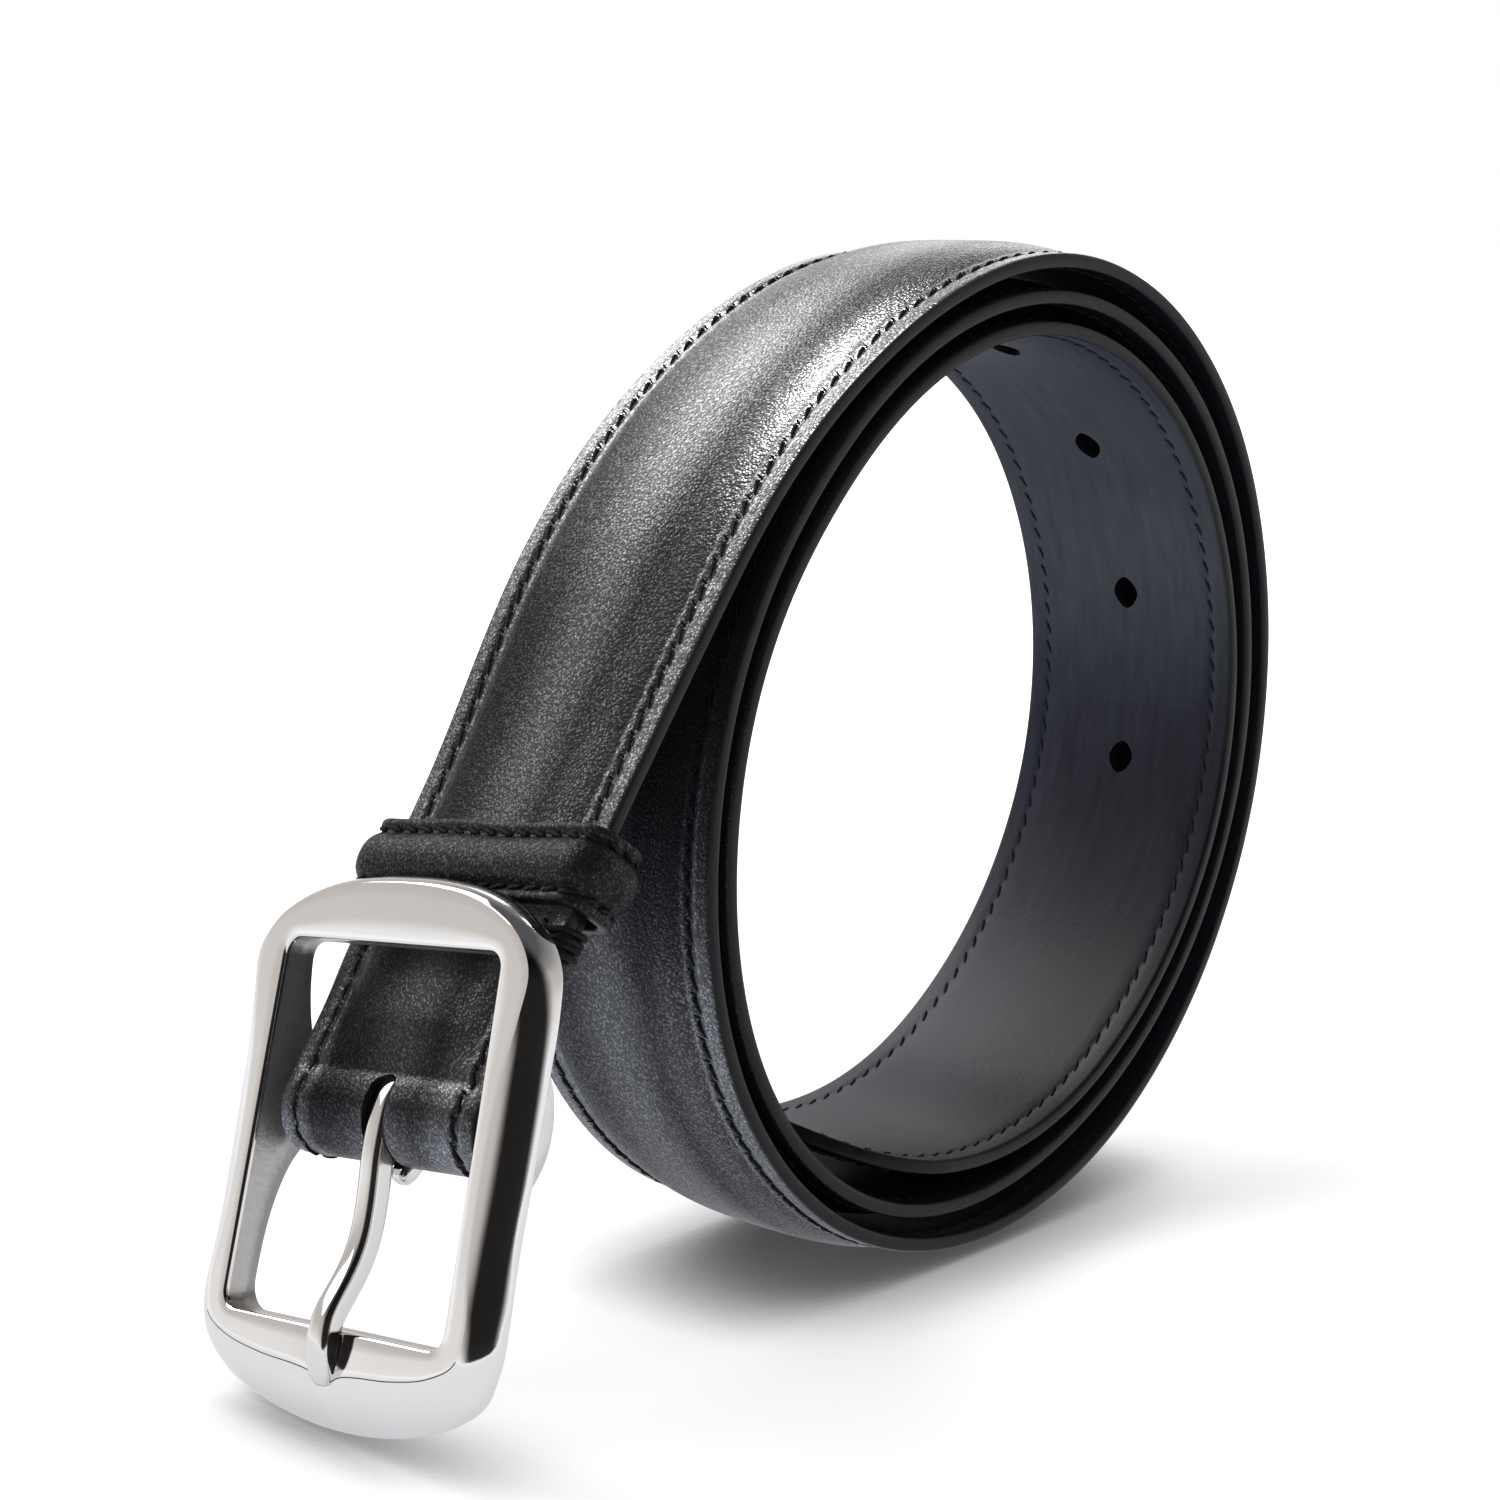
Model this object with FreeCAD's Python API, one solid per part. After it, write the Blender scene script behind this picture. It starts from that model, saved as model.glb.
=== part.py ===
import FreeCAD, Part
import math
import os

# Coiled leather dress belt standing on its rim and on the foot of its buckle.
# +Z is up, +Y runs along the coil's axis (across the strap), the buckle is on the -X side.
# "Near" is the -Y side and "far" the +Y side.  The origin is the bottom centre of the whole
# belt's bounding box.  Lengths are in millimetres, angles in degrees.

V = FreeCAD.Vector
os.makedirs("parts", exist_ok=True)

SIDES = (("near", -1), ("far", 1))

# ------------------------------------------------------------------ dimensions
# Strap section.  Its rise is measured outwards from the lining's bare face.
STRAP_W = 35.0
LINING_T = 0.77
GLUE = 0.03               # glue line between layers
FLANGE_T = 1.90           # whole thickness at the stitched margins
RAISE = 1.10              # padded centre above the margins
FACE_T = 1.10             # face leather
MARGIN = 4.6              # margin width up to the foot of the raised centre
RAMP = 2.4                # width of the slope up to the raised centre
EDGE_BEVEL = 0.30
HOLLOW_SHIFT = 0.5        # slope of the hollow, inwards from the slope of the face
FILLER_SHIFT = 0.72       # slope of the filler, inwards from the slope of the face
FILLER_LIFT = 0.02        # filler above the glue line
HUMP_TOP = FLANGE_T + RAISE
HOLLOW_TOP = HUMP_TOP - FACE_T
FACE_LOW = LINING_T + GLUE

# Coil: radius of the margin's outer face at every step, clockwise as seen from -Y,
# from the point where the straight buckle end runs on to the coil.  A "turn" is the
# angle swept from that point.
COIL_X = 23.12
COIL_Z = 64.81
COIL_START_DEG = 151.0    # polar angle of the first radius
STEP_DEG = 15.0
COIL_R = [
    61.90, 60.20, 60.00, 61.30, 63.60, 65.60, 66.20, 65.30, 63.30, 61.10, 59.30, 58.20,
    57.95, 58.50, 59.80, 61.50, 63.30, 64.70, 65.40, 65.00, 63.40, 61.00, 58.70, 57.10,
    56.00, 55.50, 56.20, 57.70, 59.40, 60.70, 60.90, 60.20, 58.50, 56.50, 54.90, 53.80,
    53.20, 53.20, 53.90, 55.40, 57.60, 60.00, 61.45, 61.30, 59.90, 57.65, 55.45, 53.80,
    52.60, 52.00, 52.70, 54.10, 55.60, 56.50, 56.40, 55.50, 54.00, 52.50, 51.20, 50.30,
    49.75, 49.80, 50.50, 51.90, 53.30, 54.60, 55.90, 57.30]
LEAD_PITCH = 15.7         # spacing of the curve points along the straight end
LEAD_COUNT = 3
COIL_END_TURN = 1000.0    # free tip
TIP_SPLIT_TURN = 919.0    # where the free tip starts to stand off the coil
END_SPLIT_TURN = 3.0      # where the straight buckle end meets the coil
HALF_GAP = 1.9 / 2        # half the clear gap at each of those two places
TIP_POINT_L = 26.0        # length of the pointed end
TIP_END_SHARE = 0.30      # its width at the very end, as a share of the strap
TIP_CURVE = 2.2           # exponent of its narrowing
TIP_FILLER_STOP = 16.0    # filler stops this far short of the tip

# Prong holes near the tip
HOLE_COUNT = 5
HOLE_PITCH = 25.0
HOLE_LAST_TURN = 881.0    # hole nearest the tip
HOLE_W = 4.0              # across the strap
HOLE_L = 4.7              # along the strap
HOLE_CUT_IN = 2.2         # cutter starts this far inside the margin's outer face
HOLE_CUT_L = 3.7

# Stitching
ST_PITCH = 3.0
ST_IN = 3.2               # row's distance from the strap's edge
ST_L = 2.1
ST_W = 0.75
ST_T = 0.30
ST_LIFT = 0.03            # clearance above the leather
ST_SLANT = 22.0
ST_END = 0.6              # clear length at the start and end of a coil row
ST_TIP_END = 7.0          # rows stop this far short of the tip

# Straight buckle end and the bar the strap is folded round
END_DIR_DEG = 54.8        # slope of the straight part above the horizontal
BAR_R = 2.25
BAR_CLEAR = 0.06          # running clearance of the fold and the prong's eye
BORE_R = BAR_R + BAR_CLEAR
FOLD_R = BORE_R + 3.70    # outside of the leather round the bar
BAR = V(-66.43, 0, 33.55)
BAR_TILT = V(0.0220, 0.9931, -0.1150)     # the bar hangs tilted, its far end lower
TURNBACK_L = 30.0         # leather folded back behind the strap
TURNBACK_T = 1.60         # its skived thickness
TURNBACK_GAP = 0.10       # between it and the lining
JOIN_L = 11.5             # where the wrap has closed on to the strap
HUMP_L = 12.0             # where the raised centre reaches its full height
SLOT_W = 5.0              # slot through the fold for the prong

# Keeper loop
KEEPER_START = 23.5       # up the strap from the bar
KEEPER_W = 9.8
KEEPER_END = KEEPER_START + KEEPER_W
KEEPER_T = 1.7
KEEPER_PAD = 0.9          # padded middle above the margins
KEEPER_SKIN = 0.9         # leather over the filler
KEEPER_LINING = 0.70      # leather under the filler
KEEPER_FIT = 0.05         # clearance round the filler
KEEPER_STITCHES = 11

# Buckle frame, drawn in its own plane
FRAME_DOWN = V(-0.3239, -0.1018, -0.9406)
BAR_DOWN = 18.5           # bar below the window's top edge
BAR_BACK = 7.0            # bar centre behind the front plane
WIN_W = 37.0
WIN_H = 43.0
RAIL_W = 6.5              # side rails
TOP_H = 8.1               # top rail
FOOT_H = 10.6             # foot rail
RAIL_T = 4.2              # depth of the frame
R_TOP = 14.0
R_FOOT = 15.0
R_WIN = 2.2
RIM_R = 2.6               # rounding of the outer front rim
LUG_L = 17.0              # lugs that hold the bar
LUG_END_L = 8.4           # their length at the back
LUG_BACK = 10.4           # how far behind the front plane they reach
LUG_Y = 2.8               # their thickness across the belt
BAR_L = WIN_W + 2 * 2.2   # bar, seated 2.2 deep at each end

# Prong
PRONG_W = 3.0
EYE_R = BORE_R + 3.2
# front of the shank: (down the frame from the bar, forward of the bar, thickness)
SHANK = [
    (2.9, 5.60, 3.0), (7.7, 5.50, 2.9), (11.2, 5.35, 2.8), (17.3, 6.10, 2.8),
    (23.5, 8.85, 2.6), (28.0, 8.55, 2.1), (30.3, 7.60, 1.3)]


# --------------------------------------------------------------------- helpers
def unit(vector):
    result = V(vector)
    result.normalize()
    return result


def closed(points):
    return Part.makePolygon(points + [points[0]])


def prism(points, travel):
    return Part.Face(closed(points)).extrude(travel)


def centred_prism(wire, axis, width):
    """wire extruded along axis, half the width to each side"""
    face = Part.Face(wire)
    face.translate(axis * (-width / 2))
    return face.extrude(axis * width)


def lines(points):
    return [Part.makeLine(start, end) for start, end in zip(points[:-1], points[1:])]


def rounded_rect(place, low, high, half, r_low, r_high):
    """wire from low to high and half to each side of y = 0; place(a, y) gives the points"""
    k_low = r_low * (1 - math.sqrt(0.5))
    k_high = r_high * (1 - math.sqrt(0.5))
    corners = [
        [(low, half - r_low), (low + k_low, half - k_low), (low + r_low, half)],
        [(high - r_high, half), (high - k_high, half - k_high), (high, half - r_high)],
        [(high, -half + r_high), (high - k_high, -half + k_high), (high - r_high, -half)],
        [(low + r_low, -half), (low + k_low, -half + k_low), (low, -half + r_low)]]
    edges = []
    for i, corner in enumerate(corners):
        start, middle, end = [place(*spot) for spot in corner]
        edges.append(Part.makeLine(place(*corners[i - 1][2]), start))
        edges.append(Part.Arc(start, middle, end).toShape())
    return Part.Wire(edges)


def placement(origin, x_axis, y_axis, z_axis):
    return FreeCAD.Placement(FreeCAD.Matrix(
        x_axis.x, y_axis.x, z_axis.x, origin.x,
        x_axis.y, y_axis.y, z_axis.y, origin.y,
        x_axis.z, y_axis.z, z_axis.z, origin.z,
        0, 0, 0, 1))


def spread(start, end, count):
    """middles of count equal parts between start and end"""
    return [start + (i + 0.5) * (end - start) / count for i in range(count)]


def stitch_spots(start, end):
    return spread(start, end, int((end - start) / ST_PITCH))


def stitch(point, along, normal, across, slant=ST_SLANT):
    """one slanted stitch lying on a surface"""
    angle = math.radians(slant)
    length_axis = along * math.cos(angle) + across * math.sin(angle)
    width_axis = across * math.cos(angle) - along * math.sin(angle)
    box = Part.makeBox(ST_L, ST_W, ST_T, V(-ST_L / 2, -ST_W / 2, -ST_T / 2))
    centre = point + normal * (ST_T / 2 + ST_LIFT)
    box.Placement = placement(centre, length_axis, width_axis, normal)
    return box


def save(name, shape):
    shape.exportStep("parts/%s.step" % name)


# -------------------------------------------------- layer sections, (y, rise)
def mirrored(half):
    """points of one half followed by their mirror images across the strap's middle"""
    return half + [(STRAP_W - y, rise) for y, rise in reversed(half)]


def slopes(shift, low, high):
    """trapezium under the raised centre, its slopes shifted inwards"""
    return mirrored([(MARGIN + shift, low), (MARGIN + RAMP + shift, high)])


LINING = [
    (0.0, EDGE_BEVEL), (EDGE_BEVEL, 0.0), (STRAP_W - EDGE_BEVEL, 0.0),
    (STRAP_W, EDGE_BEVEL), (STRAP_W, LINING_T), (0.0, LINING_T)]
FACE = mirrored([
    (0.0, FACE_LOW), (0.0, FLANGE_T - EDGE_BEVEL), (EDGE_BEVEL, FLANGE_T),
    (MARGIN, FLANGE_T), (MARGIN + RAMP, HUMP_TOP)])
FACE += reversed(slopes(HOLLOW_SHIFT, FACE_LOW, HOLLOW_TOP))
FILLER = slopes(FILLER_SHIFT, FACE_LOW + FILLER_LIFT, HOLLOW_TOP - GLUE)


# ----------------------------------------------------------------- coil's path
UP = V(math.cos(math.radians(END_DIR_DEG)), 0, math.sin(math.radians(END_DIR_DEG)))
OUT = V(-UP.z, 0, UP.x)                   # outward normal of the straight part


def coil_node(i):
    angle = math.radians(COIL_START_DEG - i * STEP_DEG)
    return V(COIL_X + COIL_R[i] * math.cos(angle), 0, COIL_Z + COIL_R[i] * math.sin(angle))


def coil_path():
    """margin's outer face; the parameter is the turn in steps"""
    nodes = [coil_node(i) for i in range(len(COIL_R))]
    lead = [nodes[0] - UP * (LEAD_PITCH * i) for i in range(LEAD_COUNT, 0, -1)]
    path = Part.BSplineCurve()
    path.interpolate(Points=lead + nodes,
                     Parameters=[float(i) for i in range(-LEAD_COUNT, len(nodes))])
    return path


PATH = coil_path()


def coil_frame(turn):
    """point on the margin's outer face, outward normal and direction"""
    along = PATH.tangent(turn / STEP_DEG)[0]
    return PATH.value(turn / STEP_DEG), V(-along.z, 0, along.x), along


def coil_point(turn, rise, y):
    point, normal, _ = coil_frame(turn)
    spot = point + normal * (rise - FLANGE_T)
    return V(spot.x, y, spot.z)


# arc length along the margin's outer face, tabulated against the turn
ARC_STEPS = 4000
TURNS = [i * COIL_END_TURN / ARC_STEPS for i in range(ARC_STEPS + 1)]


def arc_table():
    arcs = [0.0]
    last = PATH.value(0.0)
    for turn in TURNS[1:]:
        point = PATH.value(turn / STEP_DEG)
        arcs.append(arcs[-1] + (point - last).Length)
        last = point
    return arcs


ARCS = arc_table()


def arc_at(turn):
    place = turn / COIL_END_TURN * ARC_STEPS
    i = min(int(place), ARC_STEPS - 1)
    return ARCS[i] + (ARCS[i + 1] - ARCS[i]) * (place - i)


def turn_at(arc):
    low, high = 0, ARC_STEPS
    while high - low > 1:
        middle = (low + high) // 2
        if ARCS[middle] <= arc:
            low = middle
        else:
            high = middle
    share = (arc - ARCS[low]) / (ARCS[high] - ARCS[low])
    return TURNS[low] + share * (TURNS[high] - TURNS[low])


ARC_END = ARCS[-1]
COIL_ARC0 = arc_at(END_SPLIT_TURN) + HALF_GAP
COIL_ARC1 = arc_at(TIP_SPLIT_TURN) - HALF_GAP
TIP_ARC0 = arc_at(TIP_SPLIT_TURN) + HALF_GAP


def width_share(turn):
    """strap width as a share of the full width; below 1 only in the pointed tip"""
    left = ARC_END - arc_at(turn)
    if left >= TIP_POINT_L:
        return 1.0
    return 1.0 - (1.0 - TIP_END_SHARE) * (1.0 - left / TIP_POINT_L) ** TIP_CURVE


# ---------------------------------------------------------- coil and free tip
def side_face(first, second, flat):
    """face between two neighbouring edges of a swept layer"""
    if not flat:
        return Part.makeRuledSurface(first, second)
    start = Part.makeLine(first.valueAt(first.FirstParameter),
                          second.valueAt(second.FirstParameter))
    end = Part.makeLine(first.valueAt(first.LastParameter),
                        second.valueAt(second.LastParameter))
    return Part.Face(Part.Wire(Part.__sortEdges__([first, second, start, end])))


def sweep(profile, turn0, turn1, step=5.0, pointed=False, chunk=6):
    """solid of a section carried along the coil, its faces split every chunk steps"""
    count = max(4, int(math.ceil((turn1 - turn0) / step)))
    turns = [turn0 + (turn1 - turn0) * i / count for i in range(count + 1)]
    curves = []
    for y, rise in profile:
        curve = Part.BSplineCurve()
        curve.interpolate(
            Points=[coil_point(turn, rise, (y - STRAP_W / 2) * width_share(turn))
                    for turn in turns],
            Parameters=[float(i) for i in range(count + 1)])
        curves.append(curve)
    cuts = list(range(0, count, chunk)) + [count]
    if len(cuts) > 2 and cuts[-1] - cuts[-2] < chunk / 2:
        cuts.pop(-2)
    faces = []
    for start, end in zip(cuts[:-1], cuts[1:]):
        edges = []
        for curve in curves:
            piece = curve.copy()
            piece.segment(float(start), float(end))
            edges.append(piece.toShape())
        for i in range(len(profile)):
            j = (i + 1) % len(profile)
            # a side square to the axis stays flat, except where the tip narrows
            flat = abs(profile[i][0] - profile[j][0]) < 1e-9 and not pointed
            faces.append(side_face(edges[i], edges[j], flat))
    for i in (0, count):
        faces.append(Part.Face(closed([curve.value(float(i)) for curve in curves])))
    shell = Part.makeShell(faces)
    shell.sewShape()
    solid = Part.makeSolid(shell)
    if solid.Volume < 0:
        solid.reverse()
    return solid


def coil_stitches(arc0, arc1, side):
    stitches = []
    for arc in stitch_spots(arc0, arc1):
        turn = turn_at(arc)
        point, normal, along = coil_frame(turn)
        y = side * (STRAP_W / 2 - ST_IN) * width_share(turn)
        stitches.append(stitch(V(point.x, y, point.z), along, normal, V(0, 1, 0)))
    return Part.makeCompound(stitches)


def hole_cutters():
    """pointed ovals: two arcs meeting on the strap's centre line"""
    cutters = []
    for i in range(HOLE_COUNT):
        turn = turn_at(arc_at(HOLE_LAST_TURN) - i * HOLE_PITCH)
        point, normal, along = coil_frame(turn)
        centre = point - normal * HOLE_CUT_IN
        start = centre - along * (HOLE_L / 2)
        end = centre + along * (HOLE_L / 2)
        half_width = V(0, HOLE_W / 2, 0)
        oval = Part.Wire([Part.Arc(start, centre + half_width, end).toShape(),
                          Part.Arc(end, centre - half_width, start).toShape()])
        cutters.append(Part.Face(oval).extrude(normal * HOLE_CUT_L))
    return cutters


def save_coil():
    cutters = hole_cutters()
    for name, profile in (("face_leather", FACE), ("filler", FILLER), ("lining", LINING)):
        layer = sweep(profile, turn_at(COIL_ARC0), turn_at(COIL_ARC1))
        for cutter in cutters:
            layer = layer.cut(cutter)
        save("coil_" + name, layer)
    for name, side in SIDES:
        save("coil_stitches_" + name,
             coil_stitches(COIL_ARC0 + ST_END, COIL_ARC1 - ST_END, side))


def save_tip():
    filler_end = turn_at(ARC_END - TIP_FILLER_STOP)
    for name, profile, end in (("face_leather", FACE, COIL_END_TURN),
                               ("filler", FILLER, filler_end),
                               ("lining", LINING, COIL_END_TURN)):
        save("tip_" + name, sweep(profile, turn_at(TIP_ARC0), end, step=4.0, pointed=True))
    for name, side in SIDES:
        save("tip_stitches_" + name,
             coil_stitches(TIP_ARC0 + ST_END, ARC_END - ST_TIP_END, side))


# -------------------------------------------------------- straight buckle end
BAR_AXIS = unit(BAR_TILT)
# across the straight end, skewed with the bar; one unit long in y
SKEW = V(BAR_AXIS.x / BAR_AXIS.y, 1.0, BAR_AXIS.z / BAR_AXIS.y)
END_NORMAL = unit(UP.cross(SKEW))
END_ACROSS = END_NORMAL.cross(UP)

# top of the straight part, with 1.6 of room for its skewed end
END_TOP = (coil_frame(END_SPLIT_TURN)[0] - BAR).dot(UP) - HALF_GAP - 1.6
# heights in front of the bar's axis
FACE_H = FOLD_R                           # margin's outer face
HOLLOW_H = FACE_H - FLANGE_T + FACE_LOW   # inner face of the face leather
TURN_H1 = FACE_H - FLANGE_T - TURNBACK_GAP
TURN_H0 = TURN_H1 - TURNBACK_T


def on_strap(along, height, y=0.0):
    """point along the strap from the bar and height in front of the bar's axis"""
    return BAR + UP * along + OUT * height + SKEW * y


def section(profile, along):
    return [on_strap(along, FACE_H + rise - FLANGE_T, -STRAP_W / 2 + y)
            for y, rise in profile]


def section_loft(profile0, along0, profile1, along1):
    wires = [closed(section(profile0, along0)), closed(section(profile1, along1))]
    return Part.makeLoft(wires, True, True)


def strap_and_turnback():
    """side outline of the straight face, the wrap round the bar and the turnback"""
    front = [(END_TOP, HOLLOW_H), (END_TOP, FACE_H), (0, FOLD_R)]
    back = [
        (0, -FOLD_R), (2.4, -FOLD_R + 0.4), (JOIN_L, TURN_H0), (TURNBACK_L, TURN_H0),
        (TURNBACK_L, TURN_H1 - 0.5), (TURNBACK_L - 4.0, TURN_H1), (JOIN_L + 1.0, TURN_H1),
        (2.4, -BORE_R), (0, -BORE_R)]
    inside = [(0, BORE_R), (1.5, BORE_R), (7.0, HOLLOW_H), (END_TOP, HOLLOW_H)]
    front, back, inside = [[on_strap(*spot) for spot in run] for run in (front, back, inside)]
    outer_arc = Part.Arc(front[-1], on_strap(-FOLD_R, 0), back[0]).toShape()
    inner_arc = Part.Arc(back[-1], on_strap(-BORE_R, 0), inside[0]).toShape()
    edges = lines(front) + [outer_arc] + lines(back) + [inner_arc] + lines(inside)
    return centred_prism(Part.Wire(edges), SKEW, STRAP_W)


def end_face_leather():
    leather = strap_and_turnback()
    # raised centre, a nose sloping down to the fold, and the hollow for the filler
    sunk = FLANGE_T - 0.02                # overlaps the margin's face
    hump = slopes(0.0, sunk, HUMP_TOP)
    nose = mirrored([(MARGIN + 1.5, sunk), (MARGIN + RAMP + 1.0, FLANGE_T + 0.05)])
    hollow = mirrored([(MARGIN + HOLLOW_SHIFT, FACE_LOW - 0.2),
                       (MARGIN + HOLLOW_SHIFT, FACE_LOW),
                       (MARGIN + RAMP + HOLLOW_SHIFT, HOLLOW_TOP)])
    leather = leather.fuse(section_loft(hump, HUMP_L, hump, END_TOP))
    leather = leather.fuse(section_loft(nose, HUMP_L - 5.0, hump, HUMP_L + 0.01))
    leather = leather.cut(section_loft(hollow, HUMP_L + 1.0, hollow, END_TOP + 1))
    leather = leather.removeSplitter()

    # slot for the prong, through the front, foot and back of the wrap
    slot = [(6.2, FOLD_R + 1), (6.2, -FOLD_R - 1.5),
            (-FOLD_R - 1, -FOLD_R - 1.5), (-FOLD_R - 1, FOLD_R + 1)]
    slot_wire = closed([on_strap(*spot) for spot in slot])
    leather = leather.cut(centred_prism(slot_wire, SKEW, SLOT_W))

    # the wrap is trimmed square to the bar so that it turns freely between the lugs
    zone_wire = closed([on_strap(*spot) for spot in ((-9, -9), (-9, 9), (14.5, 9), (14.5, -9))])
    zone = centred_prism(zone_wire, SKEW, 50.0)
    trim_x = unit(BAR_AXIS.cross(V(0, 0, 1)))
    trim_z = trim_x.cross(BAR_AXIS)
    trim_w = 6.0
    wrap_half = WIN_W / 2 - 0.45
    for start in (-wrap_half - trim_w, wrap_half):
        trim = Part.makeBox(40.0, trim_w, 40.0, V(-20.0, 0.0, -20.0))
        trim.Placement = placement(BAR + UP * 2.0 + BAR_AXIS * start, trim_x, BAR_AXIS, trim_z)
        leather = leather.cut(trim.common(zone))
    return leather


def end_layer(profile, start):
    return prism(section(profile, start), UP * (END_TOP - start))


def end_stitches(side):
    """one row, interrupted by the keeper"""
    spots = stitch_spots(8.0, KEEPER_START - 0.8) + stitch_spots(KEEPER_END + 0.8, END_TOP - 0.5)
    y = side * (STRAP_W / 2 - ST_IN)
    return Part.makeCompound([stitch(on_strap(along, FACE_H, y), UP, END_NORMAL, END_ACROSS)
                              for along in spots])


def strap_block(middle, length, y_range, low, high):
    """block centred on middle along the strap"""
    start = middle - length / 2
    y0, y1 = sorted(y_range)
    return prism([on_strap(start, low, y0), on_strap(start, high, y0),
                  on_strap(start, high, y1), on_strap(start, low, y1)], UP * length)


def edge_whipping():
    """thread that binds strap and turnback together at each edge below the keeper"""
    thread = 0.55
    clear = 0.06
    low = TURN_H0 - clear
    high = FACE_H + clear
    edge = STRAP_W / 2 + clear
    turns = []
    for _, side in SIDES:
        for i in range(4):
            middle = 19.0 + i * 0.95
            outer = strap_block(middle, 0.8, (side * (edge - 2.2), side * (edge + thread)),
                                low - thread, high + thread)
            inner = strap_block(middle, 1.2, (side * (edge - 5.0), side * edge), low, high)
            turns.append(outer.cut(inner))
    return Part.makeCompound(turns)


def save_straight_end():
    save("end_face_leather", end_face_leather())
    save("end_filler", end_layer(FILLER, HUMP_L + 1.2))
    save("end_lining", end_layer(LINING, HUMP_L + 1.0))
    for name, side in SIDES:
        save("end_stitches_" + name, end_stitches(side))
    save("edge_whipping", edge_whipping())


# ---------------------------------------------------------------- keeper loop
KEEPER_H1 = FACE_H + RAISE + 0.12         # inside of the loop, front and back
KEEPER_H0 = TURN_H0 - 0.35
KEEPER_HALF = STRAP_W / 2 + 0.35


def keeper_block(inset, grow):
    """rounded block, inset from the keeper's ends and grown from the loop's inside"""
    start = KEEPER_START + inset
    corner_r = 0.9 + 0.9 * grow
    wire = rounded_rect(lambda height, y: on_strap(start, height, y),
                        KEEPER_H0 - grow, KEEPER_H1 + grow, KEEPER_HALF + grow,
                        corner_r, corner_r)
    return Part.Face(wire).extrude(UP * (KEEPER_W - 2 * inset))


def keeper_leather():
    """closed loop round strap and turnback, its padded middle proud of its margins"""
    inside = keeper_block(-1.0, 0.0)
    loop = keeper_block(0.0, KEEPER_T).cut(inside)
    pad = keeper_block(2.4, KEEPER_T + KEEPER_PAD).cut(inside)
    void = keeper_block(3.2, KEEPER_T + KEEPER_PAD - KEEPER_SKIN)
    void = void.cut(keeper_block(1.0, KEEPER_LINING))
    return loop.fuse(pad).cut(void).removeSplitter()


def keeper_filler():
    outside = keeper_block(3.2 + KEEPER_FIT, KEEPER_T + KEEPER_PAD - KEEPER_SKIN - KEEPER_FIT)
    return outside.cut(keeper_block(1.0, KEEPER_LINING + KEEPER_FIT))


def keeper_stitches(along):
    row_axis = unit(SKEW)
    row_up = row_axis.cross(END_NORMAL)
    half_row = STRAP_W / 2 - 0.6
    return Part.makeCompound([
        stitch(on_strap(along, KEEPER_H1 + KEEPER_T, y), row_axis, END_NORMAL, row_up,
               slant=-ST_SLANT / 2)
        for y in spread(-half_row, half_row, KEEPER_STITCHES)])


def save_keeper():
    save("keeper_leather", keeper_leather())
    save("keeper_filler", keeper_filler())
    save("keeper_stitches_lower", keeper_stitches(KEEPER_START + 1.2))
    save("keeper_stitches_upper", keeper_stitches(KEEPER_END - 1.2))


# --------------------------------------------------------------------- buckle
DOWN = unit(FRAME_DOWN - BAR_AXIS * FRAME_DOWN.dot(BAR_AXIS))     # down the frame
FRONT = BAR_AXIS.cross(DOWN)              # out of the frame's front, towards -X
WIN_TOP = BAR - DOWN * BAR_DOWN + FRONT * BAR_BACK


def on_frame(down, forward, y):
    """point from the middle of the window's top edge in the front plane"""
    return WIN_TOP + DOWN * down + FRONT * forward + BAR_AXIS * y


def from_bar(down, forward):
    return BAR + DOWN * down + FRONT * forward


def rod(radius, length):
    """cylinder centred on the bar"""
    return Part.makeCylinder(radius, length, BAR - BAR_AXIS * (length / 2), BAR_AXIS)


def frame_slab(top, foot, half, r_top, r_foot, back, depth):
    """rounded slab that starts back from the front plane"""
    wire = rounded_rect(lambda down, y: on_frame(down, -back, y), top, foot, half, r_top, r_foot)
    return Part.Face(wire).extrude(FRONT * depth)


def outer_rim_edges(frame):
    """edges in the front plane that don't lie on the window"""
    rim = []
    for edge in frame.Edges:
        length = edge.LastParameter - edge.FirstParameter
        spots = [edge.valueAt(edge.FirstParameter + length * share) - WIN_TOP
                 for share in (0.0, 0.5, 1.0)]
        in_front = all(abs(spot.dot(FRONT)) < 1e-6 for spot in spots)
        on_window = all(abs(spot.dot(BAR_AXIS)) <= WIN_W / 2 + 1e-6
                        and -1e-6 <= spot.dot(DOWN) <= WIN_H + 1e-6 for spot in spots)
        if in_front and not on_window:
            rim.append(edge)
    return rim


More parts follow.
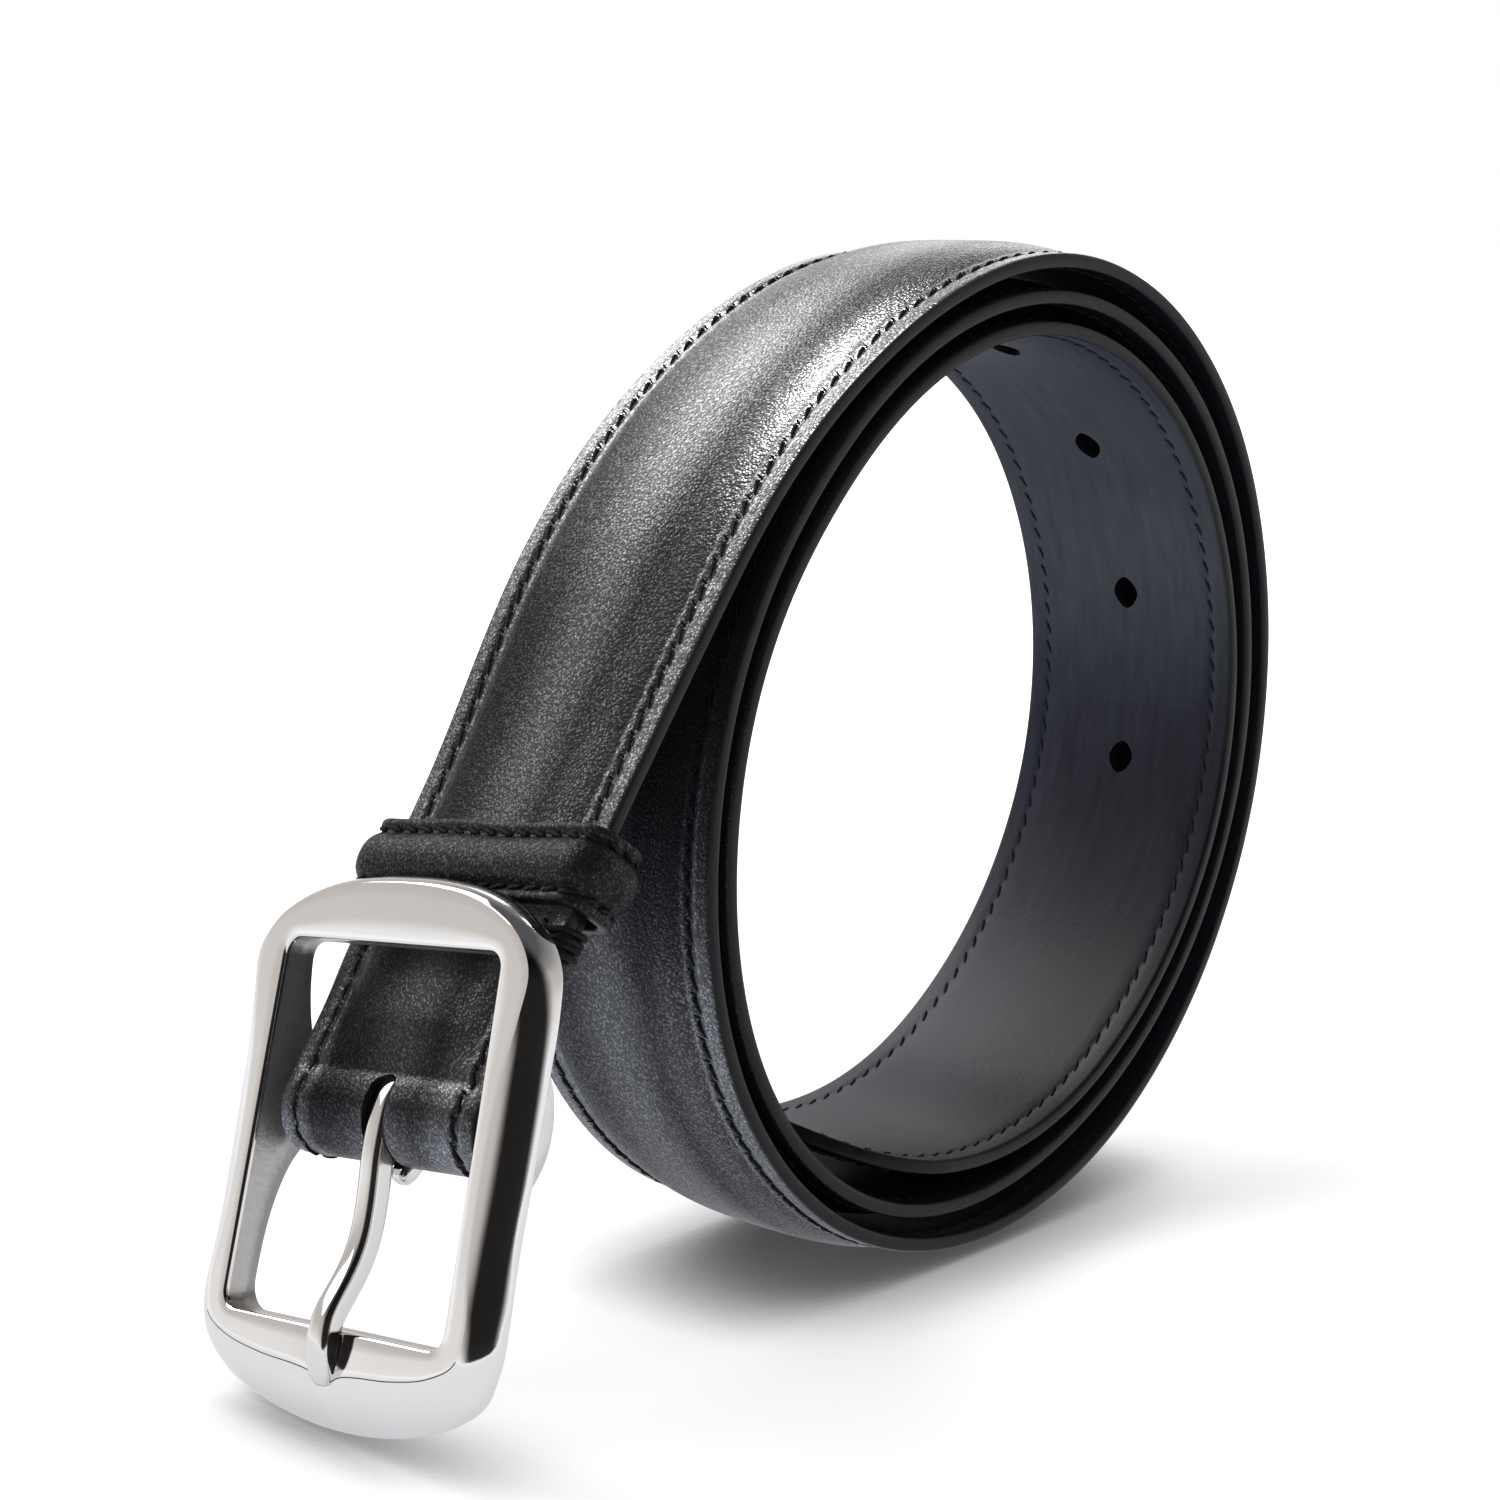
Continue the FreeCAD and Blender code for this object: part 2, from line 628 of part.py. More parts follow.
def buckle_frame():
    outer = frame_slab(-TOP_H, WIN_H + FOOT_H, WIN_W / 2 + RAIL_W, R_TOP, R_FOOT,
                       RAIL_T, RAIL_T)
    window = frame_slab(0, WIN_H, WIN_W / 2, R_WIN, R_WIN, RAIL_T + 6, RAIL_T + 12)
    frame = outer.cut(window)
    frame = frame.makeFillet(RIM_R, outer_rim_edges(frame))
    # lugs behind the side rails, with blind seats for the bar
    lug = [
        (-LUG_L / 2, -RAIL_T + 1.0), (-LUG_L / 2, -RAIL_T), (-LUG_END_L / 2, -LUG_BACK),
        (LUG_END_L / 2, -LUG_BACK), (LUG_L / 2, -RAIL_T), (LUG_L / 2, -RAIL_T + 1.0)]
    for _, side in SIDES:
        points = [on_frame(BAR_DOWN + down, forward, side * WIN_W / 2) for down, forward in lug]
        frame = frame.fuse(prism(points, BAR_AXIS * (side * LUG_Y)))
    frame = frame.removeSplitter()
    frame = frame.cut(rod(BAR_R, BAR_L))
    # shallow notch for the prong's tip in the foot rail
    return frame.cut(Part.makeCylinder(3.2, 8.5, on_frame(WIN_H - 1.0, 1.7, 0), DOWN))


def shank_wire():
    """side outline of the shank, its back offset square to its front"""
    front = []
    back = []
    for i, (down, forward, thickness) in enumerate(SHANK):
        down0, forward0, _ = SHANK[max(i - 1, 0)]
        down1, forward1, _ = SHANK[min(i + 1, len(SHANK) - 1)]
        scale = thickness / math.hypot(down1 - down0, forward1 - forward0)
        front.append(from_bar(down, forward))
        back.append(from_bar(down + (forward1 - forward0) * scale,
                             forward - (down1 - down0) * scale))
    front_curve = Part.BSplineCurve()
    front_curve.interpolate(front)
    back_curve = Part.BSplineCurve()
    back_curve.interpolate(list(reversed(back)))
    root_front = from_bar(-0.6, EYE_R - 0.05)
    root_back = from_bar(2.6, 1.5)
    return Part.Wire(
        lines([root_front, front[0]]) + [front_curve.toShape()]
        + lines([front[-1], back[-1]]) + [back_curve.toShape()]
        + lines([back[0], root_back, root_front]))


def buckle_prong():
    """eye round the bar and a shank that dips, then comes forward over the foot rail"""
    shank = centred_prism(shank_wire(), BAR_AXIS, PRONG_W)
    # the strip's end, brought round the bar and down behind the shank
    tail = closed([from_bar(*spot) for spot in ((3.0, -3.4), (7.9, -0.6), (7.6, 1.3), (3.0, 1.0))])
    shank = shank.fuse(centred_prism(tail, BAR_AXIS, PRONG_W))
    prong = rod(EYE_R, PRONG_W).fuse(shank).removeSplitter()
    return prong.cut(rod(BORE_R, PRONG_W + 4))


def save_buckle():
    save("buckle_frame", buckle_frame())
    save("buckle_bar", rod(BAR_R, BAR_L))
    save("buckle_prong", buckle_prong())


save_coil()
save_tip()
save_straight_end()
save_keeper()
save_buckle()
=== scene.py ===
"""A stitched leather belt with a prong buckle, rolled into a spiral about the y axis.

The roll stands on the floor (z = 0). The belt's path lies in the x-z plane and its width runs
along y. The buckle end leaves the outermost turn on the -x side and runs down to the buckle bar;
the pointed tip is inside the roll. Lengths are in millimetres until new_mesh scales them.

Coordinates used below:
  arc, y, n    distance along the path (0 where the roll begins, growing towards the tip),
               distance across, and height over the plane of the face's margins
  along, h, y  on the straight end: distance up from the bar, height out from its axis, across
  u, w, y      on the buckle: down from the window's top edge, out to the front, across
"""
import math

import bmesh
import bpy
import numpy as np
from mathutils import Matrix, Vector


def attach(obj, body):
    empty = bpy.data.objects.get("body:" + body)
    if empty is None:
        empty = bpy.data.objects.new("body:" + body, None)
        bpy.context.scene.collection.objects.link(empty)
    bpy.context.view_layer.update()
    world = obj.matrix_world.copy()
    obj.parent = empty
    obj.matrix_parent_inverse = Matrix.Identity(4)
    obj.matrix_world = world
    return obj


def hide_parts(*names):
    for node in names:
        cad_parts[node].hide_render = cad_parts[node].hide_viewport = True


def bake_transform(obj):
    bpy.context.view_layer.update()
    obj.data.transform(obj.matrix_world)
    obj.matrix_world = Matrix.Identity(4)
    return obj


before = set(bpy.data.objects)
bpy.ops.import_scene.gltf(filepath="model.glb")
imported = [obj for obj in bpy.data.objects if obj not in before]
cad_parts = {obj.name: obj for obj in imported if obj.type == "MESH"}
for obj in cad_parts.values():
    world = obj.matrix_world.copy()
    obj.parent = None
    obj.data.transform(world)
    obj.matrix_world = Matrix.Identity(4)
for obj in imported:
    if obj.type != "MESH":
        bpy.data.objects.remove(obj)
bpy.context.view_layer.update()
MM = 0.001
rng = np.random.default_rng(7)


# ---------------------------------------------------------------- curve helpers
def smooth_step(x):
    x = np.clip(x, 0, 1)
    return x * x * (3 - 2 * x)


def bell(distance, width):
    return np.exp(-(distance / width) ** 2)


def unit(vector):
    return vector / np.linalg.norm(vector)


def chord_lengths(points):
    """Running length along a polyline."""
    steps = np.linalg.norm(np.diff(points, axis=0), axis=1)
    return np.concatenate([[0], np.cumsum(steps)])


def natural_spline(knots, values, at):
    """Natural cubic spline through values, one row per knot."""
    count, gap = len(knots), np.diff(knots)
    system, right = np.zeros((count, count)), np.zeros(values.shape)
    system[0, 0] = system[-1, -1] = 1
    for i in range(1, count - 1):
        system[i, i - 1:i + 2] = gap[i - 1], 2 * (gap[i - 1] + gap[i]), gap[i]
        right[i] = 6 * ((values[i + 1] - values[i]) / gap[i]
                        - (values[i] - values[i - 1]) / gap[i - 1])
    bend = np.linalg.solve(system, right)
    k = np.clip(np.searchsorted(knots, at) - 1, 0, count - 2)
    span = gap[k][:, None]
    lower = (knots[k + 1] - at)[:, None] / span
    upper = (at - knots[k])[:, None] / span
    cubic = (lower ** 3 - lower) * bend[k] + (upper ** 3 - upper) * bend[k + 1]
    return lower * values[k] + upper * values[k + 1] + cubic * span ** 2 / 6


def hermite(start, start_slope, end, end_slope, t):
    return ((2 * t ** 3 - 3 * t ** 2 + 1) * start + (t ** 3 - 2 * t ** 2 + t) * start_slope
            + (-2 * t ** 3 + 3 * t ** 2) * end + (t ** 3 - t ** 2) * end_slope)


def superellipse(count, power, half_x=1.0, half_y=1.0):
    angle = 2 * math.pi * np.arange(count) / count
    c, s = np.cos(angle), np.sin(angle)
    radius = (np.abs(c / half_x) ** power + np.abs(s / half_y) ** power) ** (-1 / power)
    return np.stack([radius * c, radius * s], -1)


def rounded_rect(half_width, low, high, radius, arc_points, line_steps):
    """Closed outline from the +x side, round by the high side; line_steps: high, -x, low, +x."""
    x, top, bottom = half_width - radius, high - radius, low + radius
    centres = [(x, top), (-x, top), (-x, bottom), (x, bottom)]
    points = []
    for quarter, steps in enumerate(line_steps):
        centre = np.array(centres[quarter])
        for i in range(arc_points):
            angle = math.radians(90 * (quarter + i / (arc_points - 1)))
            direction = np.array([math.cos(angle), math.sin(angle)])
            points.append(centre + radius * direction)
        start = points[-1]
        end = np.array(centres[(quarter + 1) % 4]) + radius * direction
        points += [start + (end - start) * i / steps for i in range(1, steps)]
    return np.array(points)


# ----------------------------------------------------------------- mesh helpers
def loft_faces(rings, count, closed=False, flip=False):
    """Quads between rings of count vertices, then two end caps unless closed."""
    faces = []
    for i in range(rings if closed else rings - 1):
        a, b = i * count, (i + 1) % rings * count
        for j in range(count):
            k = (j + 1) % count
            if flip:
                faces.append((a + j, a + k, b + k, b + j))
            else:
                faces.append((a + j, b + j, b + k, a + k))
    if not closed:
        first = tuple(range(count))
        last = tuple((rings - 1) * count + j for j in reversed(range(count)))
        faces += [first[::-1], last[::-1]] if flip else [first, last]
    return faces


def merge(parts):
    """Joins (vertices, faces, material index) parts; the index is returned per face."""
    vertices, faces, indices, offset = [], [], [], 0
    for part_vertices, part_faces, index in parts:
        vertices.append(part_vertices)
        faces += [tuple(offset + v for v in face) for face in part_faces]
        indices += [index] * len(part_faces)
        offset += len(part_vertices)
    return np.vstack(vertices), faces, indices


def new_mesh(name, vertices, faces, materials, face_materials=None, uv=None, smooth=True):
    mesh = bpy.data.meshes.new(name)
    mesh.from_pydata((np.asarray(vertices) * MM).tolist(), [], faces)
    for material in materials:
        mesh.materials.append(material)
    if face_materials is not None:
        mesh.polygons.foreach_set("material_index", np.asarray(face_materials, np.int32))
    mesh.polygons.foreach_set("use_smooth", np.full(len(mesh.polygons), smooth))
    if uv is not None:
        layer = mesh.uv_layers.new(name="UVMap")
        corners = np.zeros(len(mesh.loops), np.int32)
        mesh.loops.foreach_get("vertex_index", corners)
        layer.data.foreach_set("uv", np.asarray(uv, np.float32)[corners].ravel())
    mesh.update()
    obj = bpy.data.objects.new(name, mesh)
    bpy.context.scene.collection.objects.link(obj)
    return obj


def face_outward(obj):
    bm = bmesh.new()
    bm.from_mesh(obj.data)
    bmesh.ops.recalc_face_normals(bm, faces=bm.faces)
    bm.to_mesh(obj.data)
    bm.free()


def mark_sharp(mesh, vertex_ranges):
    """Sharpens the edges whose two vertices lie in one of the (first, end) ranges."""
    ends = np.zeros(len(mesh.edges) * 2, np.int32)
    mesh.edges.foreach_get("vertices", ends)
    ends = ends.reshape(-1, 2)
    sharp = np.zeros(len(mesh.edges), bool)
    for first, end in vertex_ranges:
        sharp |= ((ends >= first) & (ends < end)).all(1)
    attribute = (mesh.attributes.get("sharp_edge")
                 or mesh.attributes.new("sharp_edge", "BOOLEAN", "EDGE"))
    attribute.data.foreach_set("value", sharp)


def cut(target, modifier_name, cutter_name, vertices, faces):
    """Subtracts a solid from target; the cut walls take the edge paint."""
    cutter = new_mesh(cutter_name, vertices, faces, [EDGE_PAINT], [0] * len(faces), smooth=False)
    face_outward(cutter)
    modifier = target.modifiers.new(modifier_name, "BOOLEAN")
    modifier.object = cutter
    modifier.operation = "DIFFERENCE"
    modifier.solver = "EXACT"
    modifier.material_mode = "TRANSFER"
    depsgraph = bpy.context.evaluated_depsgraph_get()
    mesh = bpy.data.meshes.new_from_object(target.evaluated_get(depsgraph), depsgraph=depsgraph)
    target.modifiers.clear()
    target.data = mesh
    mesh.name = target.name
    bpy.data.objects.remove(cutter)


def tube(path, radius, sides):
    """Vertices and faces of a round tube along a 3-D path."""
    path = np.asarray(path, float)
    radius = np.broadcast_to(np.asarray(radius, float), (len(path),))
    tangent = np.gradient(path, axis=0)
    tangent /= np.linalg.norm(tangent, axis=1)[:, None] + 1e-12
    across = np.cross(tangent, np.array([0.3, 0.2, 0.93]))
    across /= np.linalg.norm(across, axis=1)[:, None]
    other = np.cross(tangent, across)
    angle = (np.arange(sides) * 2 * math.pi / sides)[None, :, None]
    spoke = np.cos(angle) * across[:, None, :] + np.sin(angle) * other[:, None, :]
    vertices = path[:, None, :] + radius[:, None, None] * spoke
    return vertices.reshape(-1, 3), loft_faces(len(path), sides, flip=True)


# ------------------------------------------------------------------- belt's path
COIL_CENTRE = (23.12, 64.81)     # x, z
COIL_START_ANGLE = 151           # degrees; the path then turns clockwise, seen from -y
COIL_STEP_ANGLE = 15
# radius of the path at each angle step, from the outermost turn inwards
COIL_RADII = np.array([
    61.90, 60.20, 60.00, 61.30, 63.60, 65.60, 66.20, 65.30, 63.30, 61.10,
    59.30, 58.20, 57.95, 58.50, 59.80, 61.50, 63.30, 64.70, 65.40, 65.00,
    63.40, 61.00, 58.70, 57.10, 56.00, 55.50, 56.20, 57.70, 59.40, 60.70,
    60.90, 60.20, 58.50, 56.50, 54.90, 53.80, 53.20, 53.20, 53.90, 55.40,
    57.60, 60.00, 61.45, 61.30, 59.90, 57.65, 55.45, 53.80, 52.60, 52.00,
    52.70, 54.10, 55.60, 56.50, 56.40, 55.50, 54.00, 52.50, 51.20, 50.30,
    49.75, 49.80, 50.50, 51.90, 53.30, 54.60, 55.90, 57.30])
LEAD_POINTS, LEAD_STEP = 3, 15.7   # control points on the straight line before the roll
STATION_STEP = 15.0                # stations count 15 per control point
LAST_STATION = 1000

STRAIGHT_ANGLE = math.radians(54.8)
UP = np.array([math.cos(STRAIGHT_ANGLE), 0.0, math.sin(STRAIGHT_ANGLE)])
OUT = np.array([-UP[2], 0.0, UP[0]])
BAR = np.array([-66.43, 0.0, 33.55])                   # centre of the buckle bar
BAR_AXIS = unit(np.array([0.0220, 0.9931, -0.1150]))
# the bar's lean, as x and z per millimetre of y
SKEW = np.array([BAR_AXIS[0] / BAR_AXIS[1], 1.0, BAR_AXIS[2] / BAR_AXIS[1]])

HALF_WIDTH = 17.5
THICKNESS = 1.90
TURNBACK_THICKNESS = 1.60
FOLD_RADIUS = 6.01               # margin plane to the bar's axis
TURNBACK_H = FOLD_RADIUS - THICKNESS - 0.10      # top of the turned-back layer
TURNBACK_LENGTH, FRONT_LENGTH = 30, 40

angles = np.radians(COIL_START_ANGLE - COIL_STEP_ANGLE * np.arange(len(COIL_RADII)))
coil_points = np.stack([COIL_CENTRE[0] + COIL_RADII * np.cos(angles),
                        COIL_CENTRE[1] + COIL_RADII * np.sin(angles)], -1)
UP_XZ, OUT_XZ, BAR_XZ = UP[[0, 2]], OUT[[0, 2]], BAR[[0, 2]]
lead_points = [coil_points[0] - UP_XZ * LEAD_STEP * k for k in range(LEAD_POINTS, 0, -1)]
control_points = np.vstack([lead_points, coil_points])


def coil_at(index):
    """x, z of the roll at fractional control-point indices."""
    knots = np.arange(len(control_points)) - float(LEAD_POINTS)
    return natural_spline(knots, control_points, np.asarray(index, float))


def straight_xz(along, h):
    return BAR_XZ + np.outer(along, UP_XZ) + np.outer(h, OUT_XZ)


# turned-back layer behind the front, coming down to the fold
back_along = np.linspace(TURNBACK_LENGTH, 0, 200)
back_rise = smooth_step((back_along - 0.5) / 13.0)
back_h = -FOLD_RADIUS + (TURNBACK_H - TURNBACK_THICKNESS + FOLD_RADIUS) * back_rise
turnback_path = straight_xz(back_along, back_h)
# half turn under the bar
fold_angle = np.linspace(0, math.pi, 160)[1:]
fold_path = straight_xz(-FOLD_RADIUS * np.sin(fold_angle), -FOLD_RADIUS * np.cos(fold_angle))
# straight front layer
front_along = np.linspace(0, FRONT_LENGTH, 200)[1:]
front_path = straight_xz(front_along, np.full_like(front_along, FOLD_RADIUS))
# curve that joins the straight to the roll
joint_start, joint_end = front_path[-1], coil_at([0.0])[0]
joint_slope = unit(coil_at([0.002])[0] - joint_end)
joint_length = np.linalg.norm(joint_end - joint_start)
joint_path = hermite(joint_start, joint_length * UP_XZ, joint_end, joint_length * joint_slope,
                     np.linspace(0, 1, 160)[1:, None])
coil_index = np.linspace(0, LAST_STATION / STATION_STEP, 9000)
coil_path = coil_at(coil_index[1:])

PATH = np.vstack([turnback_path, fold_path, front_path, joint_path, coil_path])
ARC = chord_lengths(PATH)
coil_first = len(PATH) - len(coil_path) - 1
ARC -= ARC[coil_first]
tangents = np.gradient(PATH, axis=0)
HEADING = np.unwrap(np.arctan2(tangents[:, 1], tangents[:, 0]))
# the direction is smoothed a little where the pieces of the path meet
kernel = np.hanning(9)
HEADING[4:-4] = np.convolve(HEADING, kernel / kernel.sum(), "valid")

ARC_START, ARC_END = ARC[0], ARC[-1]
FOLD_BACK = ARC[len(turnback_path) - 1]
FOLD_FRONT = ARC[len(turnback_path) + len(fold_path) - 1]


def station(value):
    """Arc position of a station in the roll."""
    return float(np.interp(value, coil_index * STATION_STEP, ARC[coil_first:]))


def front_arc(along):
    """Arc position on the straight front layer."""
    return FOLD_FRONT + along


def place(arc, y, n):
    """World point of belt coordinates; the straight end leans with the bar."""
    arc = np.asarray(arc, float)
    y, n = np.asarray(y, float) + 0 * arc, np.asarray(n, float) + 0 * arc
    inside = np.clip(arc, ARC_START, ARC_END)
    heading = np.interp(inside, ARC, HEADING)
    x = np.interp(inside, ARC, PATH[:, 0]) + np.cos(heading) * (arc - inside)
    z = np.interp(inside, ARC, PATH[:, 1]) + np.sin(heading) * (arc - inside)
    x, z = x - np.sin(heading) * n, z + np.cos(heading) * n
    along = (x - BAR[0]) * UP[0] + (z - BAR[2]) * UP[2]
    lean = np.where(arc < 25, 1 - smooth_step((along - 35.0) / 35.0), 0.0)
    return np.stack([x + SKEW[0] * y * lean, y, z + SKEW[2] * y * lean], -1)


def straight_point(along, h, y):
    """World point on the leaning straight end."""
    along, h, y = np.broadcast_arrays(*(np.asarray(v, float) for v in (along, h, y)))
    return BAR + along[..., None] * UP + h[..., None] * OUT + y[..., None] * SKEW


# ---------------------------------------------------------------- belt's section
STITCH_PITCH = 3.0
STITCH_ROW = 14.3                # distance of each stitch row from the middle
PAD_HALF_WIDTH = 12.95           # raised middle of the face
FACE_EDGE_Y, BACK_EDGE_Y = 17.2, 17.1

# y across the face, from the middle to one edge; closest together near the stitches
FACE_HALF_Y = [
    0.0, 1.3, 2.6, 3.9, 5.2, 6.5, 7.7, 8.8, 9.6, 10.2, 10.6, 11.0, 11.4, 11.8, 12.15, 12.45, 12.7,
    12.95, 13.2, 13.5, 13.8, 14.05, 14.3, 14.55, 14.8, 15.1, 15.45, 15.8, 16.2, 16.6, 16.85,
    17.05, FACE_EDGE_Y]
FACE_Y = np.array([-y for y in reversed(FACE_HALF_Y)] + FACE_HALF_Y[1:])
BACK_HALF_Y = [BACK_EDGE_Y, 16.8, 15.6, 15.0, 14.65, 14.3, 13.95, 13.6, 12.0, 9.0, 6.0, 3.0]
BACK_Y = np.array(BACK_HALF_Y + [0.0] + [-y for y in reversed(BACK_HALF_Y)])
# rounded edge: y, share of the thickness down from the face
EDGE_PROFILE = np.array([(17.36, 0.06), (17.46, 0.16), (17.51, 0.32), (17.53, 0.5),
                         (17.51, 0.68), (17.46, 0.84), (17.34, 0.95)])


def width_factor(arc):
    """1 at full width; less towards the tip and between the buckle's lugs."""
    tip = np.clip(1 - (ARC_END - arc) / 26.0, 0, 1)
    near_fold = 1 - smooth_step((arc - front_arc(9)) / 9.0)
    return (1 - 0.70 * tip ** 2.2) * (1 - 0.034 * near_fold)


def strap_thickness(arc):
    # arc position, thickness
    table = [(ARC_START, 0.55), (ARC_START + 5, TURNBACK_THICKNESS),
             (FOLD_BACK - 13, TURNBACK_THICKNESS), (FOLD_BACK - 5, 2.6), (FOLD_BACK, 3.4),
             (front_arc(3.5), 3.6), (front_arc(9), THICKNESS), (ARC_END, THICKNESS)]
    return np.interp(arc, *zip(*table))


def stitch_wave(arc, phase=0.0):
    return np.cos(2 * math.pi * arc / STITCH_PITCH + phase)


def face_height(arc, y):
    """Height of the face leather over the margin plane."""
    side = np.abs(y)
    padded = (smooth_step((arc - front_arc(2.9)) / 6.5)
              * (1 - smooth_step((arc - (ARC_END - 27)) / 15.0)))
    t = np.clip(side / PAD_HALF_WIDTH, 0, 1)
    wave = stitch_wave(arc)
    height = padded * 1.62 * (1 - 0.25 * t ** 2 - 0.75 * t ** 4.2)
    # groove pulled in by the stitches, with a lip on either side
    height = height - (0.30 + 0.05 * wave) * bell(side - STITCH_ROW, 0.50)
    height = height + (0.07 + 0.06 * wave) * bell(side - 13.25, 0.38)
    height = height + (0.05 - 0.04 * wave) * bell(side - 15.5, 0.55)
    # crease above the fold, and a slight swelling round the bar
    height = height - 0.42 * bell(arc - front_arc(2.7), 0.75) * smooth_step((17.2 - side) / 3.0)
    height = height + 0.30 * bell(arc - front_arc(-0.6), 2.6) * smooth_step((17.6 - side) / 2.0)
    # broad unevenness, then the rounding at the edge
    height = height + 0.045 * np.sin(arc * 0.173 + 1.3) * np.cos(y * 0.21 + arc * 0.05) * padded
    return height - 0.30 * np.clip((side - 16.75) / 0.75, 0, 1) ** 2.2


def back_height(arc, y):
    """Height of the lining, with a groove along the stitches and rounded edges."""
    side = np.abs(y)
    groove = (0.12 + 0.03 * stitch_wave(arc, 1.0)) * bell(side - STITCH_ROW, 0.45)
    return -strap_thickness(arc) + groove + 0.18 * np.clip((side - 16.9) / 0.6, 0, 1) ** 2


def strap_piece(name, arcs):
    """Closed solid of the belt through the given arc positions."""
    arcs = np.asarray(arcs, float)
    arc = arcs[:, None]
    face_y, back_y = FACE_Y + 0 * arc, BACK_Y + 0 * arc
    edge_y, edge_share = EDGE_PROFILE[:, 0] + 0 * arc, EDGE_PROFILE[:, 1]
    top = face_height(arc, np.full_like(arc, FACE_EDGE_Y))
    bottom = back_height(arc, np.full_like(arc, BACK_EDGE_Y))
    edge_n = top + (bottom - top) * edge_share
    y = np.concatenate([face_y, edge_y, back_y, -edge_y[:, ::-1]], 1) * width_factor(arc)
    n = np.concatenate([face_height(arc, face_y), edge_n, back_height(arc, back_y),
                        edge_n[:, ::-1]], 1)

    rings, count, edges = len(arcs), y.shape[1], len(EDGE_PROFILE)
    # material slots round the section: face 0, edge 1, lining 2
    slots = ([0] * (len(FACE_Y) - 1) + [1] * (edges + 1)
             + [2] * (len(BACK_Y) - 1) + [1] * (edges + 1))
    uv_across = np.concatenate([FACE_Y, np.linspace(17.3, 19, edges), BACK_Y,
                                np.linspace(-19, -17.3, edges)])
    uv = np.stack([np.repeat(arcs, count), np.tile(uv_across, rings)], -1) * 0.01
    points = place(np.repeat(arcs, count), y.ravel(), n.ravel())
    obj = new_mesh(name, points, loft_faces(rings, count), [FACE_LEATHER, EDGE_PAINT, LINING],
                   slots * (rings - 1) + [1, 1], uv)
    # the two end caps stay crisp
    mark_sharp(obj.data, [(0, count), ((rings - 1) * count, rings * count)])
    for cap in (obj.data.polygons[-1], obj.data.polygons[-2]):
        cap.use_smooth = False
    return obj


# -------------------------------------------------------------------- materials
class Graph:
    """Builds the shader nodes of a material or world, starting from none."""

    def __init__(self, owner):
        owner.use_nodes = True
        self.tree = owner.node_tree
        for node in list(self.tree.nodes):
            self.tree.nodes.remove(node)

    def node(self, kind, **settings):
        node = self.tree.nodes.new(kind)
        for key, value in settings.items():
            setattr(node, key, value)
        return node

    def put(self, socket, value):
        """Links a socket or sets a plain value; colours are given as RGB."""
        if isinstance(value, bpy.types.NodeSocket):
            self.tree.links.new(value, socket)
        elif isinstance(value, tuple) and socket.type == "RGBA":
            socket.default_value = (*value, 1)
        else:
            socket.default_value = value

    def fill(self, node, values):
        for key, value in values.items():
            self.put(node.inputs[key], value)
        return node.outputs[0]

    def math(self, operation, *values, clamp=False):
        node = self.node("ShaderNodeMath", operation=operation, use_clamp=clamp)
        return self.fill(node, dict(enumerate(values)))

    def add(self, a, b):
        return self.math("ADD", a, b)

    def times(self, a, b):
        return self.math("MULTIPLY", a, b)

    def coords(self, kind="Object"):
        return self.node("ShaderNodeTexCoord").outputs[kind]

    def ramp(self, factor, stops):
        """Colour ramp of (position, RGB or grey) stops."""
        node = self.node("ShaderNodeValToRGB")
        elements = node.color_ramp.elements
        while len(elements) > 1:
            elements.remove(elements[-1])
        for i, (position, colour) in enumerate(stops):
            element = elements.new(position) if i else elements[0]
            element.position = position
            element.color = (*colour, 1) if isinstance(colour, tuple) else (*(colour,) * 3, 1)
        return self.fill(node, {0: factor})

    def grey(self, colour):
        return self.fill(self.node("ShaderNodeRGBToBW"), {0: colour})

    def noise(self, vector, scale, detail=3.0, rough=0.55, distortion=0.0):
        return self.fill(self.node("ShaderNodeTexNoise"), {
            "Scale": scale, "Detail": detail, "Roughness": rough, "Distortion": distortion,
            "Vector": vector})

    def voronoi(self, vector, scale):
        return self.fill(self.node("ShaderNodeTexVoronoi"), {"Scale": scale, "Vector": vector})

    def bump(self, height, depth_mm, strength=1.0, normal=None):
        node = self.node("ShaderNodeBump")
        if normal is not None:
            self.put(node.inputs["Normal"], normal)
        return self.fill(node, {"Strength": strength, "Distance": depth_mm * MM,
                                "Height": height})

    def smoothstep(self, value, low, high):
        node = self.node("ShaderNodeMapRange", interpolation_type="SMOOTHSTEP")
        return self.fill(node, {"From Min": low, "From Max": high, "Value": value})

    def mix_shader(self, factor, first, second):
        return self.fill(self.node("ShaderNodeMixShader"), {0: factor, 1: first, 2: second})

    def surface(self, colour, rough, **others):
        """Principled shader; others are specular, normal, metallic, emission or glow."""
        names = {"specular": "Specular IOR Level", "normal": "Normal", "metallic": "Metallic",
                 "emission": "Emission Color", "glow": "Emission Strength"}
        values = {"Base Color": colour, "Roughness": rough}
        values.update({names[key]: value for key, value in others.items()})
        return self.fill(self.node("ShaderNodeBsdfPrincipled"), values)

    def output(self, shader, kind="ShaderNodeOutputMaterial"):
        self.put(self.node(kind).inputs[0], shader)


def new_material(name):
    material = bpy.data.materials.new(name)
    return material, Graph(material)


# painted highlight and shade bands: the face's sheen across the width, y / 20, grey
PAINTED_SHEEN_BANDS = [(-0.87, 1.0), (-0.60, 1.0), (-0.52, 0.80), (-0.43, 0.34), (-0.34, 0.15),
           (-0.22, 0.32), (-0.09, 0.56), (0.02, 0.54), (0.15, 0.32), (0.29, 0.11),
           (0.45, 0.06), (0.57, 0.08), (0.62, 0.60), (0.67, 1.0)]


